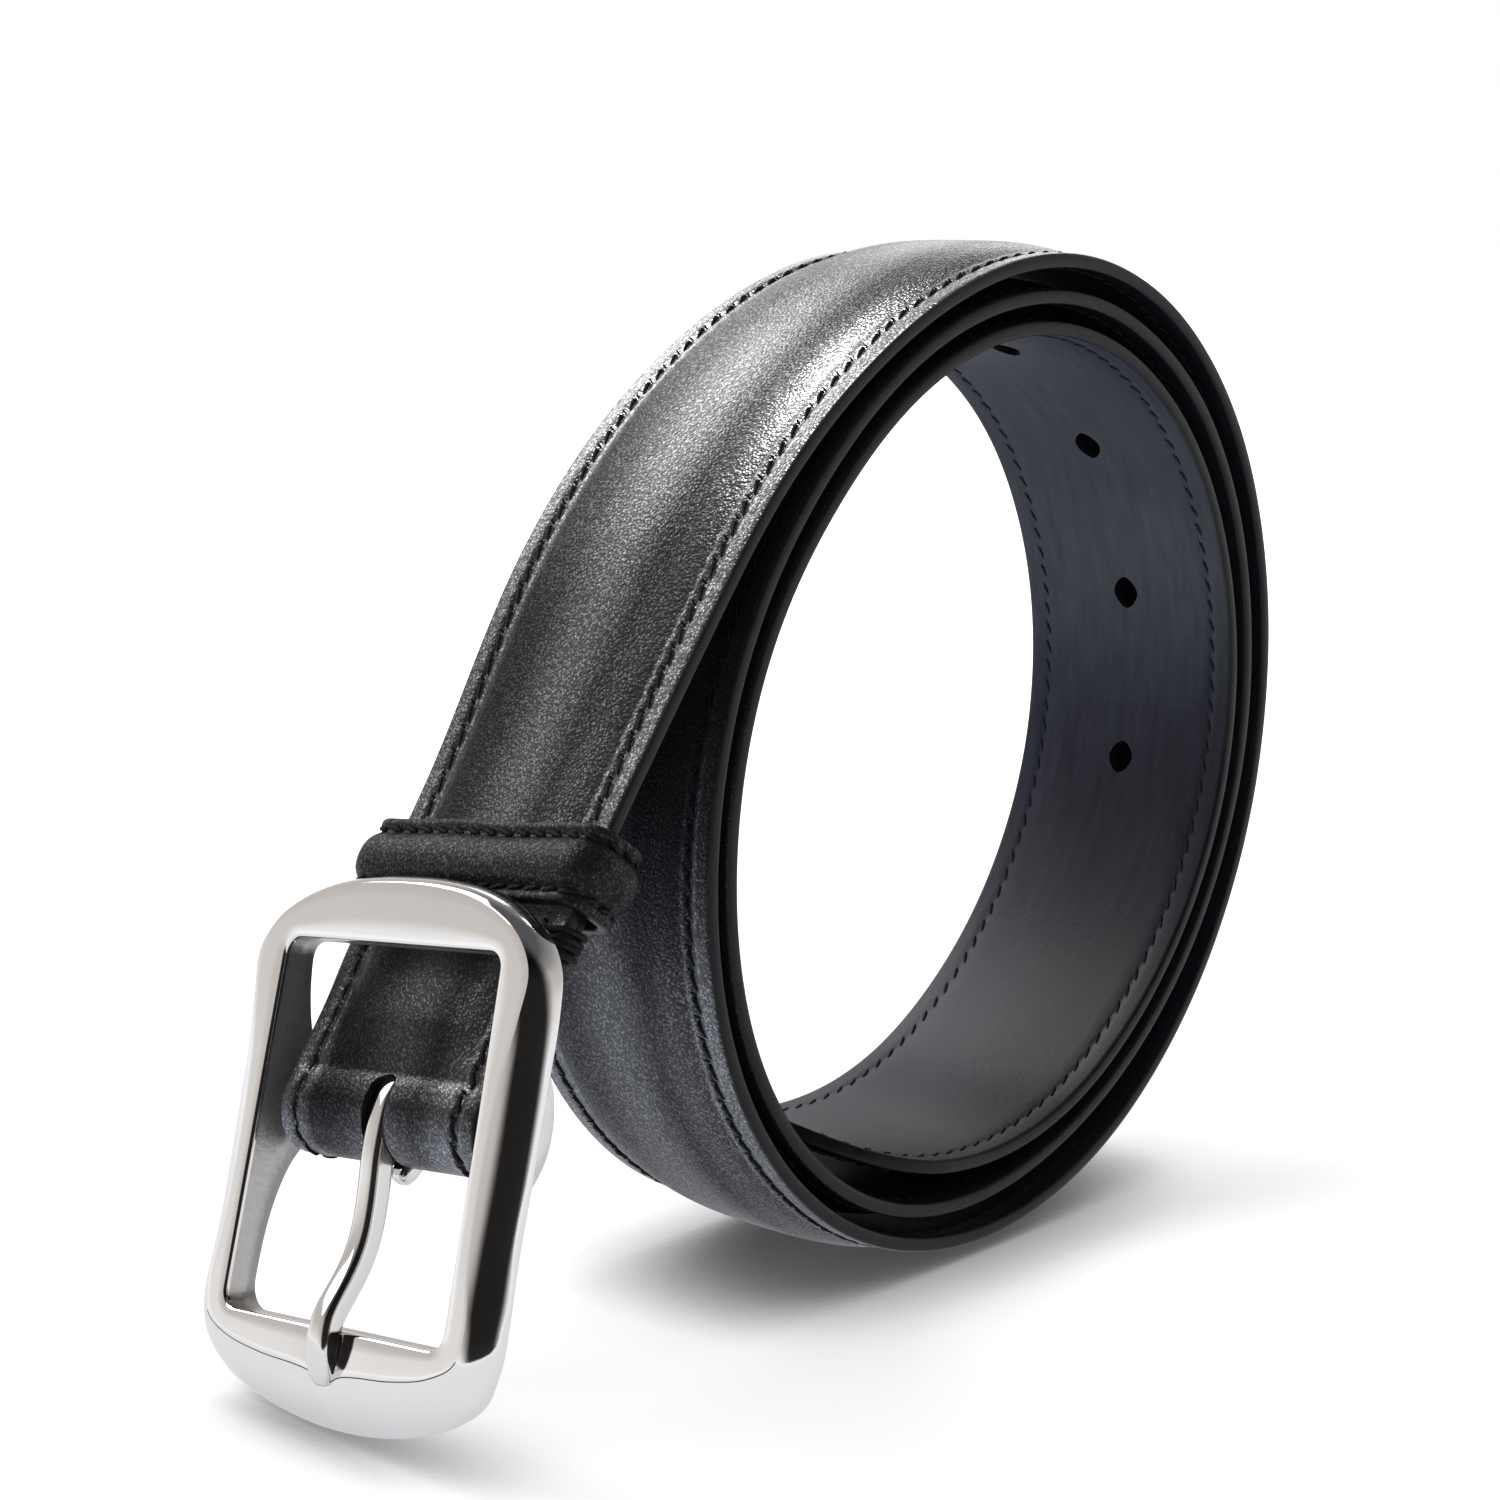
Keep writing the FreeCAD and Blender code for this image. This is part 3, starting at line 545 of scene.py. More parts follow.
def leather(name, tone, rough, grain_mm, specular, paint_sheen_bands):
    material, g = new_material(name)
    coords = g.coords()
    cells = g.voronoi(coords, scale=2750.0)
    large_cells = g.voronoi(coords, scale=1237.5)
    fine = g.noise(coords, scale=5200.0, detail=2.0, rough=0.6)
    cloud = g.noise(coords, scale=55.0, detail=4.0, rough=0.62, distortion=0.6)
    speck = g.noise(coords, scale=2000.0, detail=2.0, rough=0.6)
    grain = g.add(g.times(cells, 0.9), g.times(large_cells, 0.22))
    grain = g.add(grain, g.times(fine, 0.10))
    normal = g.bump(grain, depth_mm=grain_mm)

    # share of sheen: painted highlight and shade bands across the width on the face, clouds
    # elsewhere
    if paint_sheen_bands:
        uv = g.node("ShaderNodeUVMap", uv_map="UVMap")
        split = g.node("ShaderNodeSeparateXYZ")
        g.put(split.inputs[0], uv.outputs[0])
        across = g.times(split.outputs["Y"], 5.0)        # y / 20
        across = g.add(across, g.times(g.math("SUBTRACT", cloud, 0.5), 0.09))
        sheen = g.ramp(g.add(g.times(across, 0.5), 0.5),
                       [((position + 1) / 2, value) for position, value in PAINTED_SHEEN_BANDS])
    else:
        sheen = g.ramp(cloud, [(0.3, 0.7), (0.7, 1.0)])
    sheen = g.grey(sheen)

    # near-black base, slightly blue; on the face it is darker where the painted shade bands are
    # dark
    value = g.times(g.add(g.times(cloud, 0.9), 0.55), tone)
    value = g.times(value, g.add(g.times(sheen, 0.8), 0.4))
    tint = (1.0, 1.03, 1.16)
    colour = g.fill(g.node("ShaderNodeCombineColor"),
                    {i: g.times(value, channel) for i, channel in enumerate(tint)})

    roughness = g.add(g.times(speck, -0.20), rough + 0.06)
    roughness = g.add(roughness, g.times(cloud, 0.10))

    # specular level follows the painted sheen bands; highlights break up into dots at the cell
    # centres
    base_shine = g.times(g.add(g.times(sheen, 0.95), 0.05), specular)
    dots = g.math("SUBTRACT", 1.0, g.times(cells, 1.5), clamp=True)
    dots = g.math("POWER", dots, 1.6)
    sparkle = g.times(g.math("SUBTRACT", speck, 0.36, clamp=True), 5.5)
    shine = g.times(base_shine, g.add(g.times(g.times(dots, sparkle), 3.3), 0.40))
    g.output(g.surface(colour, roughness, normal=normal, specular=shine))
    return material


def edge_paint():
    material, g = new_material("edge_paint")
    coords = g.coords()
    waves = g.noise(coords, scale=420.0, rough=0.6)
    fine = g.noise(coords, scale=2600.0, detail=2.0, rough=0.5)
    normal = g.bump(g.add(waves, g.times(fine, 0.25)), depth_mm=0.05, strength=0.9)
    colour = g.ramp(waves, [(0.3, (0.0030, 0.0030, 0.0032)), (0.7, (0.006, 0.006, 0.0065))])
    g.output(g.surface(colour, rough=0.36, normal=normal, specular=0.20))
    return material


def lining():
    material, g = new_material("lining")
    coords = g.coords()
    mapping = g.node("ShaderNodeMapping")
    stretched = g.fill(mapping, {"Scale": (1.0, 6.0, 1.0), "Vector": coords})
    streak = g.noise(stretched, scale=110.0, detail=4.0, rough=0.6)
    pores = g.voronoi(coords, scale=3400.0)
    fine = g.noise(coords, scale=900.0, rough=0.6)
    normal = g.bump(g.add(g.times(pores, 0.5), fine), depth_mm=0.028)
    colour = g.ramp(streak, [(0.25, (0.0040, 0.0043, 0.0060)), (0.75, (0.0085, 0.0090, 0.0125))])
    roughness = g.add(g.times(streak, 0.14), 0.33)
    g.output(g.surface(colour, roughness, normal=normal, specular=0.06))
    return material


def thread():
    material, g = new_material("thread")
    coords = g.coords()
    twist = g.node("ShaderNodeTexWave", wave_type="BANDS", bands_direction="DIAGONAL")
    g.fill(twist, {"Scale": 1300.0, "Distortion": 1.0, "Vector": coords})
    fine = g.noise(coords, scale=4000.0, detail=2.0, rough=0.6)
    normal = g.bump(g.add(twist.outputs["Fac"], g.times(fine, 0.4)), depth_mm=0.06)
    colour = g.ramp(fine, [(0.3, 0.0021), (0.75, (0.0056, 0.0056, 0.00595))])
    g.output(g.surface(colour, rough=0.6, normal=normal, specular=0.16))
    return material


def awl_slit():
    material, g = new_material("awl_slit")
    fine = g.noise(g.coords(), scale=2400.0, detail=2.0, rough=0.6)
    colour = g.ramp(fine, [(0.3, 0.002), (0.8, 0.006)])
    normal = g.bump(fine, depth_mm=0.05, strength=0.6)
    g.output(g.surface(colour, rough=0.85, normal=normal, specular=0.08))
    return material


def metal(name, colour, rough, rough_spread=0.05, grain_scale=2600.0, grain_mm=0.0015):
    material, g = new_material(name)
    coords = g.coords()
    broad = g.noise(coords, scale=60.0, detail=2.0, rough=0.5)
    grain = g.noise(coords, scale=grain_scale, rough=0.6)
    waviness = g.bump(broad, depth_mm=0.10, strength=0.35)
    normal = g.bump(grain, depth_mm=grain_mm, normal=waviness)
    shade = g.ramp(broad, [(0.3, tuple(v * 0.97 for v in colour)), (0.7, colour)])
    roughness = g.add(g.times(grain, rough_spread), rough)
    g.output(g.surface(shade, roughness, normal=normal, metallic=1.0))
    return material


# the face leather carries painted highlight and shade bands across its width
FACE_LEATHER = leather("face_leather", tone=0.0044, rough=0.285, grain_mm=0.058, specular=0.46,
                       paint_sheen_bands=True)
EDGE_PAINT = edge_paint()
LINING = lining()
THREAD = thread()
AWL_SLIT = awl_slit()
KEEPER_LEATHER = leather("keeper_leather", tone=0.005, rough=0.42, grain_mm=0.07, specular=0.30,
                         paint_sheen_bands=False)
NICKEL = metal("polished_nickel", colour=(0.83, 0.81, 0.79), rough=0.035)
# near-black nickel on the foot's ridge: a painted dark reflection
PAINTED_DARK_REFLECTION = metal("nickel_painted_dark_reflection", colour=(0.075, 0.07, 0.07), rough=0.12)
CAST_WALL = metal("cast_inner_wall", colour=(0.60, 0.58, 0.56), rough=0.30, rough_spread=0.25,
                  grain_scale=1500.0, grain_mm=0.07)
PRONG_NICKEL = metal("prong_nickel", colour=(0.80, 0.78, 0.75), rough=0.07)
BAR_STEEL = metal("bar_steel", colour=(0.55, 0.54, 0.52), rough=0.22)

# ------------------------------------------------------------------ strap pieces
# arc positions where one piece of the belt ends and the next begins
END_JOINT, HOLES_START, HOLES_END = station(20), station(755), station(893)
strap_end = strap_piece("strap_buckle_end", np.concatenate([
    np.arange(ARC_START, FOLD_FRONT + 14, 0.5),
    np.arange(FOLD_FRONT + 14, END_JOINT - 0.3, 0.6), [END_JOINT]]))
strap_coil = strap_piece("strap_coil", np.concatenate([
    np.arange(END_JOINT, HOLES_START - 0.4, 0.75), [HOLES_START]]))
strap_holes = strap_piece("strap_holes", np.concatenate([
    np.arange(HOLES_START, HOLES_END - 0.4, 0.75), [HOLES_END]]))
strap_tip = strap_piece("strap_tip", np.concatenate([
    np.arange(HOLES_END, ARC_END - 0.3, 0.6), [ARC_END]]))

HOLE_COUNT, HOLE_PITCH = 5, 25.0
LAST_HOLE = station(881)
HOLE_LEVELS = (-4.0, -0.9, 2.9)


def punch_holes():
    """Pointed ovals along the middle of the belt."""
    oval = superellipse(24, power=1.6, half_x=2.45, half_y=2.0)
    faces = loft_faces(len(HOLE_LEVELS), len(oval), flip=True)
    parts = []
    for i in range(HOLE_COUNT):
        arc = LAST_HOLE - HOLE_PITCH * i
        levels = [place(arc + oval[:, 0], oval[:, 1], n) for n in HOLE_LEVELS]
        parts.append((np.vstack(levels), faces, 0))
    vertices, faces, _ = merge(parts)
    cut(strap_holes, "holes", "cutter", vertices, faces)


punch_holes()


# ----------------------------------------------------------------- belt stitches
def threads_on(surface, centres, half_length, radii, angle, lift, rings=7):
    """Short threads lying on surface(arc, y) at (arc, y) centres; radii across and upwards."""
    sides = 6
    t = np.linspace(-1, 1, rings)
    taper = np.clip(1 - np.abs(t) ** 5, 0.08, 1)[:, None]
    turn = (np.arange(sides) * 2 * math.pi / sides)[None, :]
    bow = (lift * (1 - t ** 4) - 0.16 * np.abs(t) ** 6)[:, None]
    length = np.repeat(t * half_length, sides)
    across = (taper * np.cos(turn) * radii[0]).ravel()
    height = (taper * np.sin(turn) * radii[1] + bow).ravel()
    c, s = np.cos(angle)[:, None], np.sin(angle)[:, None]
    arc = centres[:, 0:1] + length * c - across * s
    y = centres[:, 1:2] + length * s + across * c
    n = surface(arc, y) + height
    vertices = place(arc.ravel(), y.ravel(), n.ravel())
    one = loft_faces(rings, sides)
    faces = [tuple(k * rings * sides + v for v in face)
             for k in range(len(centres)) for face in one]
    return vertices, faces


def above_face(arc, y):
    return face_height(arc, y) + 0.10


def below_lining(arc, y):
    return back_height(arc, y) - 0.02


def stitches(name, start, end, skip=None):
    """Both stitch rows between two arc positions, on face and lining, with awl slits."""
    low = math.ceil(start / STITCH_PITCH - 0.5)
    high = math.floor(end / STITCH_PITCH - 0.5)
    arcs = (np.arange(low, high + 1) + 0.5) * STITCH_PITCH
    arcs = arcs[(arcs > start + 1.2) & (arcs < end - 1.2)]
    if skip is not None:
        arcs = arcs[~((arcs > skip[0]) & (arcs < skip[1]))]
    count, parts = len(arcs), []
    for side in (-1, 1):
        y = side * STITCH_ROW * width_factor(arcs)
        centres = np.stack([arcs + rng.normal(0, 0.06, count), y + rng.normal(0, 0.04, count)], -1)
        angle = math.radians(17) + rng.normal(0, 0.035, count)
        slit_centres = np.stack([arcs + STITCH_PITCH / 2, y + 0.42], -1)
        parts += [
            (*threads_on(above_face, centres, half_length=1.30, radii=(0.31, 0.22),
                         angle=angle, lift=0.14), 0),
            (*threads_on(face_height, slit_centres, half_length=0.62, radii=(0.13, 0.07),
                         angle=np.full(count, math.radians(58)), lift=0.02, rings=5), 1),
            (*threads_on(below_lining, np.stack([arcs, y], -1), half_length=1.15,
                         radii=(0.26, 0.16), angle=-angle, lift=-0.02, rings=5), 0)]
    vertices, faces, slots = merge(parts)
    return new_mesh(name, vertices, faces, [THREAD, AWL_SLIT], slots)


threads_end = stitches("threads_buckle_end", FOLD_FRONT - 14.5, END_JOINT,
                       skip=(front_arc(23.2), front_arc(33.6)))      # none under the keeper
threads_coil = stitches("threads_coil", END_JOINT - 0.3, HOLES_END)
threads_tip = stitches("threads_tip", HOLES_END - 0.3, ARC_END - 3.0)

# ------------------------------------------------------------------------ keeper
KEEPER_ALONG = 23.5              # the edge nearer the bar
KEEPER_LOW = TURNBACK_H - TURNBACK_THICKNESS - 1.2
KEEPER_HIGH = FOLD_RADIUS + 1.45
KEEPER_HALF_WIDTH = HALF_WIDTH + 0.85
KEEPER_CORNER = 1.7
# profile of the band: distance from its lower edge, offset outwards; padded in the middle
KEEPER_PROFILE = [
    (0.35, 0.0), (0.08, 0.12), (0.0, 0.45), (0.0, 0.95), (0.06, 1.22), (0.2, 1.40),
    (0.45, 1.50), (0.8, 1.50), (1.12, 1.38), (1.38, 1.18), (1.58, 1.08), (1.80, 1.14),
    (2.05, 1.36), (2.35, 1.68), (2.75, 2.00), (3.25, 2.27), (3.85, 2.45), (4.4, 2.53),
    (4.9, 2.55), (5.4, 2.53), (5.95, 2.45), (6.55, 2.27), (7.05, 2.00), (7.45, 1.68),
    (7.75, 1.36), (8.0, 1.14), (8.22, 1.08), (8.42, 1.18), (8.68, 1.38), (9.0, 1.50),
    (9.35, 1.50), (9.6, 1.38), (9.76, 1.12), (9.8, 0.8), (9.76, 0.35), (9.55, 0.06), (9.3, 0.0)]
# stitch rows: distance from the lower edge, slant
KEEPER_ROWS = [(1.56, 1), (8.24, -1)]
KEEPER_STITCH_PITCH = 2.75


def keeper_ring(offset):
    """Loop round both layers of the belt, as (y, h) points."""
    return rounded_rect(KEEPER_HALF_WIDTH + offset, KEEPER_LOW - offset, KEEPER_HIGH + offset,
                        KEEPER_CORNER + offset, arc_points=9, line_steps=(40, 5, 40, 5))


def build_keeper():
    rings = []
    for distance, offset in KEEPER_PROFILE:
        y, h = keeper_ring(offset).T
        wander = 0.12 * np.sin(y * 0.33) * (1 if distance > 5 else 0.6)
        rings.append(straight_point(KEEPER_ALONG + distance + wander, h, y))
    count, points = len(rings), len(rings[0])
    slots = [1 if i < 5 or i >= count - 6 else 0 for i in range(count) for _ in range(points)]
    obj = new_mesh("keeper_loop", np.vstack(rings), loft_faces(count, points, closed=True),
                   [KEEPER_LEATHER, EDGE_PAINT], slots)
    face_outward(obj)
    return obj


def build_keeper_threads():
    ring = keeper_ring(1.13)
    ring = np.vstack([ring, ring[:1]])
    run = chord_lengths(ring)
    total = run[-1]
    t = np.linspace(-1, 1, 7)
    lift = 0.16 * (1 - t ** 4) - 0.22 * np.abs(t) ** 6
    radius = 0.29 * np.clip(1 - np.abs(t) ** 5, 0.2, 1)
    parts = []
    for distance, slant in KEEPER_ROWS:
        for centre in np.arange(0.6, total - 1.4, KEEPER_STITCH_PITCH):
            start = centre - 1.25 + rng.normal(0, 0.05)
            where = np.linspace(start, centre + 1.25, len(t)) % total
            y, h = np.interp(where, run, ring[:, 0]), np.interp(where, run, ring[:, 1])
            # lift the middle of the stitch off the loop and sink its ends
            normal_y, normal_h = np.gradient(h), -np.gradient(y)
            size = np.hypot(normal_y, normal_h) + 1e-9
            normal_y, normal_h = normal_y / size, normal_h / size
            outward = np.sign(normal_y * y * 0.2
                              + normal_h * (h - (KEEPER_LOW + KEEPER_HIGH) / 2))
            outward[outward == 0] = 1
            y, h = y + normal_y * outward * lift, h + normal_h * outward * lift
            along = KEEPER_ALONG + distance + 0.34 * t * slant
            parts.append((*tube(straight_point(along, h, y), radius, sides=7), 0))
    vertices, faces, slots = merge(parts)
    return new_mesh("keeper_threads", vertices, faces, [THREAD], slots)


keeper = build_keeper()
keeper_threads = build_keeper_threads()

# ---------------------------------------------------------------------- whipping
WHIP_ALONG, WHIP_PITCH, WHIP_TURNS = 18.9, 0.92, 4
# one turn round the edge of both layers: y, h
WHIP_PATH = np.array([
    (14.9, 6.02), (15.6, 6.28), (16.6, 6.3), (17.45, 6.15), (17.92, 5.5), (18.02, 4.4),
    (17.95, 3.2), (17.5, 2.45), (16.6, 2.2), (15.4, 2.22), (14.8, 2.5)])


def build_whipping():
    t = np.linspace(0, 1, 34)
    knots = np.linspace(0, 1, len(WHIP_PATH))
    y, h = (np.convolve(np.pad(np.interp(t, knots, column), 2, "edge"), np.ones(5) / 5, "valid")
            for column in WHIP_PATH.T)
    parts = []
    for side in (-1, 1):
        for i in range(WHIP_TURNS):
            along = (WHIP_ALONG + i * WHIP_PITCH + 0.5 * np.sin((t - 0.5) * 2.2)
                     + 0.12 * math.sin(i * 2.1))
            parts.append((*tube(straight_point(along, h, side * y), 0.43, sides=8), 0))
    vertices, faces, _ = merge(parts)
    obj = new_mesh("whipping", vertices, faces, [THREAD])
    face_outward(obj)
    return obj


whipping = build_whipping()

# ------------------------------------------------------------------ buckle frame
DOWN = np.array([-0.3239, -0.1018, -0.9406])
DOWN = unit(DOWN - BAR_AXIS * DOWN.dot(BAR_AXIS))
FRONT = unit(np.cross(BAR_AXIS, DOWN))
BAR_DROP = 18.5                  # bar below the window's top edge
FRONT_RISE = 7.0                 # front plane of the frame before the bar's axis
WINDOW_WIDTH, WINDOW_HEIGHT, WINDOW_CORNER = 37.0, 43.0, 2.2
WINDOW_TOP = BAR - DOWN * BAR_DROP + FRONT * FRONT_RISE
WINDOW_CENTRE = np.array([0.0, WINDOW_HEIGHT / 2])
# half outlines from the middle of the top to the middle of the foot: y, u
OUTER_HALF = [
    (0, -8.15), (6, -7.95), (12, -7.1), (17.6, -5.2), (21.8, -2.5), (24.3, 1.2), (25.0, 6.0),
    (24.9, 14), (24.7, 24), (24.4, 33), (24.5, 39.5), (24.2, 44.2), (22.3, 48.1), (18.0, 50.9),
    (12.0, 52.8), (6.0, 53.8), (0, 54.1)]
RIDGE_HALF = [
    (0, -6.9), (6, -6.7), (12, -5.9), (17.2, -4.1), (21.0, -1.6), (23.2, 2.0), (22.7, 7.0),
    (21.5, 13.0), (20.9, 20.0), (20.75, 28.0), (21.0, 34.0), (21.8, 40.0), (21.0, 43.9),
    (17.2, 46.0), (11.0, 47.2), (5.5, 47.6), (2.6, 48.0), (0, 49.1)]
WALL_STRIPS = 2                  # strips of the section on the window's wall
RIDGE_RING = 9                   # ring of the section on the ridge


def closed_spline(half, samples=900):
    """Closed centripetal Catmull-Rom curve through a half outline and its mirror image."""
    half = np.array(half, float)
    points = np.vstack([half, half[::-1][1:-1] * np.array([-1, 1])])
    count = len(points)
    steps = samples // count
    curve = []
    for i in range(count):
        p0, p1, p2, p3 = (points[(i + k) % count] for k in (-1, 0, 1, 2))
        d0, d1, d2 = (np.linalg.norm(b - a) ** 0.5 for a, b in ((p0, p1), (p1, p2), (p2, p3)))
        slope1 = (p1 - p0) / d0 - (p2 - p0) / (d0 + d1) + (p2 - p1) / d1
        slope2 = (p2 - p1) / d1 - (p3 - p1) / (d1 + d2) + (p3 - p2) / d2
        curve += [hermite(p1, slope1 * d1, p2, slope2 * d1, t) for t in np.arange(steps) / steps]
    return np.array(curve)


def radius_at(curve, angle):
    """Distance of a closed curve from the window's centre in the given directions."""
    arm = curve - WINDOW_CENTRE
    angles, radii = np.arctan2(arm[:, 1], arm[:, 0]), np.linalg.norm(arm, axis=1)
    order = np.argsort(angles)
    angles, radii = angles[order], radii[order]
    angles = np.concatenate([angles[-3:] - 2 * math.pi, angles, angles[:3] + 2 * math.pi])
    return np.interp(angle, angles, np.concatenate([radii[-3:], radii, radii[:3]]))


def splay(points):
    """The +y rail stands out a little more towards the foot."""
    points = points.copy()
    spread = 0.55 + 0.95 * np.clip(points[:, 1] / WINDOW_HEIGHT, 0, 1)
    points[:, 0] += spread * np.clip((points[:, 0] - 6.0) / 12.0, 0, 1)
    return points


def mix(start, end, share):
    return start + (end - start) * np.broadcast_to(share, (len(start),))[:, None]


def move(start, end, distance, most=1.0):
    """Steps from start towards end, never past the share most."""
    return mix(start, end, np.clip(distance / np.linalg.norm(end - start, axis=1), 0, most))


def build_buckle():
    window = rounded_rect(WINDOW_WIDTH / 2, 0, WINDOW_HEIGHT, WINDOW_CORNER, arc_points=10,
                          line_steps=(56, 56, 50, 56))
    arm = window - WINDOW_CENTRE
    angle = np.arctan2(arm[:, 1], arm[:, 0])
    direction = arm / np.linalg.norm(arm, axis=1)[:, None]
    outer_radius = radius_at(closed_spline(OUTER_HALF), angle)
    ridge_radius = np.minimum(radius_at(closed_spline(RIDGE_HALF), angle), outer_radius - 0.5)
    inner = splay(window)
    ridge = splay(WINDOW_CENTRE + direction * ridge_radius[:, None])
    outer = splay(WINDOW_CENTRE + direction * outer_radius[:, None])

    y, u = window[:, 0], window[:, 1]
    on_side = smooth_step((np.abs(y) - 17.6) / 0.8)
    on_foot = smooth_step((u - 39.5) / 3.5)
    # lugs reach back to the bar on both side rails
    from_bar = u - BAR_DROP
    lug = on_side * (0.75 * bell(from_bar, 9.5) + 0.25 * np.exp(-(from_bar / 6.0) ** 4))
    foot_extra = 0.6 * on_foot
    depth = 4.2 + 5.2 * lug + foot_extra
    outer_drop = 3.9 - 0.9 * smooth_step((3 - u) / 6.0) + 0.2 * on_foot
    notch = 0.22 * bell(y, 3.1) * on_foot            # dip in the middle of the foot

    flat_width = np.linalg.norm(ridge - inner, axis=1)
    past_round = np.clip(0.42 / flat_width, 0, 0.3)
    # rings of the section, window wall to flat front to ridge: (y, u) points, w
    section = [
        (inner, -depth),
        (inner, -depth * 0.5),
        (inner, -0.75 - 1.3 * notch),
        (inner, -0.40 - 1.3 * notch),
        (move(inner, ridge, 0.16, most=0.2), -0.14 - 1.3 * notch),
        (mix(inner, ridge, past_round), -0.02 - 1.25 * notch),
        (mix(inner, ridge, 0.5 * (past_round + 0.75)), -1.1 * notch),
        (mix(inner, ridge, 0.80), -0.9 * notch),
        (mix(inner, ridge, np.clip(1 - 0.10 / flat_width, 0, 1)), -0.65 * notch),
        (mix(inner, ridge, np.clip(1 + 0.04 / flat_width, 0, 2)), -0.035 - 0.6 * notch)]
    # rounded bevel from the ridge out to the rim
    bevel_start = math.radians(17)
    for t in (0.14, 0.28, 0.42, 0.56, 0.70, 0.82, 0.92, 0.98):
        turn = bevel_start + (math.pi / 2 - bevel_start) * t
        share = (math.sin(turn) - math.sin(bevel_start)) / (1 - math.sin(bevel_start))
        drop = (math.cos(bevel_start) - math.cos(turn)) / math.cos(bevel_start)
        section.append((mix(ridge, outer, share), -outer_drop * drop - 0.5 * notch * (1 - t)))
    # rim, back of the rail, then the deeper lugs beside the window
    section += [
        (outer, -outer_drop),
        (move(outer, ridge, 0.12), -(outer_drop + 0.45 * (4.2 - outer_drop + foot_extra))),
        (move(outer, ridge, 0.45), -(4.1 + foot_extra)),
        (move(outer, ridge, 0.95), -(4.25 + foot_extra)),
        (move(inner, outer, 3.4, most=0.8), -(4.3 + foot_extra)),
        (move(inner, outer, 2.85, most=0.7), -(4.3 + foot_extra + lug)),
        (move(inner, outer, 2.75, most=0.6), -(depth - 0.5 * lug)),
        (move(inner, outer, 2.2, most=0.5), -depth - 0.02),
        (move(inner, outer, 0.35, most=0.3), -depth - 0.02)]

    vertices = np.vstack([
        WINDOW_TOP + points[:, 1:2] * DOWN + w[:, None] * FRONT + points[:, 0:1] * BAR_AXIS
        for points, w in section])
    count = len(window)
    slots = []
    for i in range(len(section)):
        for foot in on_foot:
            # the ridge ring on the foot takes the painted dark reflection
            line = i == RIDGE_RING - 1 and foot > 0.35
            slots.append(1 if i < WALL_STRIPS else 2 if line else 0)
    obj = new_mesh("buckle_frame_polished", vertices,
                   loft_faces(len(section), count, closed=True, flip=True),
                   [NICKEL, CAST_WALL, PAINTED_DARK_REFLECTION], slots)
    face_outward(obj)
    mark_sharp(obj.data, [(RIDGE_RING * count, (RIDGE_RING + 1) * count)])
    return obj


buckle = build_buckle()

# ------------------------------------------------------------------------- prong
PRONG_EYE_RADIUS = 3.86          # centre line of the eye round the bar
PRONG_RINGS = 150
# centre line, from the tail round the bar to the tip: down from the bar's axis, out to the front
PRONG_TAIL = [(7.6, 0.4), (5.2, -1.0), (3.1, -2.55)]
PRONG_EYE_DEGREES = (-62, -95, -130, -165, -200, -235, -262)
PRONG_SHANK = [
    (2.6, 4.15), (5.2, 4.20), (7.9, 4.05), (11.2, 3.95), (14.4, 4.15), (17.3, 4.85),
    (20.4, 6.2), (23.5, 7.55), (26.0, 7.85), (28.2, 7.5), (29.6, 7.05), (30.5, 6.7)]


def build_prong():
    eye = [(PRONG_EYE_RADIUS * math.cos(a), PRONG_EYE_RADIUS * math.sin(a))
           for a in map(math.radians, PRONG_EYE_DEGREES)]
    key = np.array(PRONG_TAIL + eye + PRONG_SHANK)
    run = chord_lengths(key)
    where = np.linspace(0, run[-1], PRONG_RINGS)
    down, front = natural_spline(run, key, where).T
    slope_down, slope_front = np.gradient(down), np.gradient(front)
    size = np.hypot(slope_down, slope_front)
    normal_down, normal_front = -slope_front / size, slope_down / size
    # length along the prong, thickness or width
    thickness = [(0, 1.5), (1.0, 2.3), (run[3], 3.0), (run[9], 3.2), (run[12], 3.2),
                 (run[15], 3.1), (run[17], 3.0), (run[18], 2.7), (run[-2], 2.1), (run[-1], 1.3)]
    width = [(0, 2.2), (0.8, 2.9), (run[9], 3.1), (run[12], 3.1), (run[15], 3.1),
             (run[17], 3.3), (run[-4], 3.6), (run[-3], 3.5), (run[-2], 3.1), (run[-1], 1.9)]
    half_thickness = np.interp(where, *zip(*thickness))[:, None] / 2
    half_width = np.interp(where, *zip(*width))[:, None] / 2
    outline = superellipse(28, power=3.8)
    y = outline[:, 0] * half_width
    rise = outline[:, 1] * half_thickness
    a = down[:, None] + normal_down[:, None] * rise
    b = front[:, None] + normal_front[:, None] * rise
    vertices = BAR + a[..., None] * DOWN + b[..., None] * FRONT + y[..., None] * BAR_AXIS
    obj = new_mesh("prong_polished", vertices.reshape(-1, 3),
                   loft_faces(PRONG_RINGS, len(outline), flip=True), [PRONG_NICKEL])
    face_outward(obj)
    return obj


prong = build_prong()

SLOT_HALF_WIDTH, SLOT_BOTTOM, SLOT_H = 1.95, -9.0, 9.5


def cut_prong_slot():
    """Slot for the prong through the fold, with a rounded upper end."""
    outline = [(SLOT_BOTTOM, SLOT_HALF_WIDTH)]
    for angle in np.linspace(0, math.pi, 21):
        outline.append((0.9 + 1.75 * math.sin(angle), SLOT_HALF_WIDTH * math.cos(angle)))
    outline.append((SLOT_BOTTOM, -SLOT_HALF_WIDTH))
    along, y = np.array(outline).T
    vertices = np.vstack([straight_point(along, h, y) for h in (-SLOT_H, SLOT_H)])
    cut(strap_end, "slot", "slotcut", vertices, loft_faces(2, len(outline), flip=True))


cut_prong_slot()

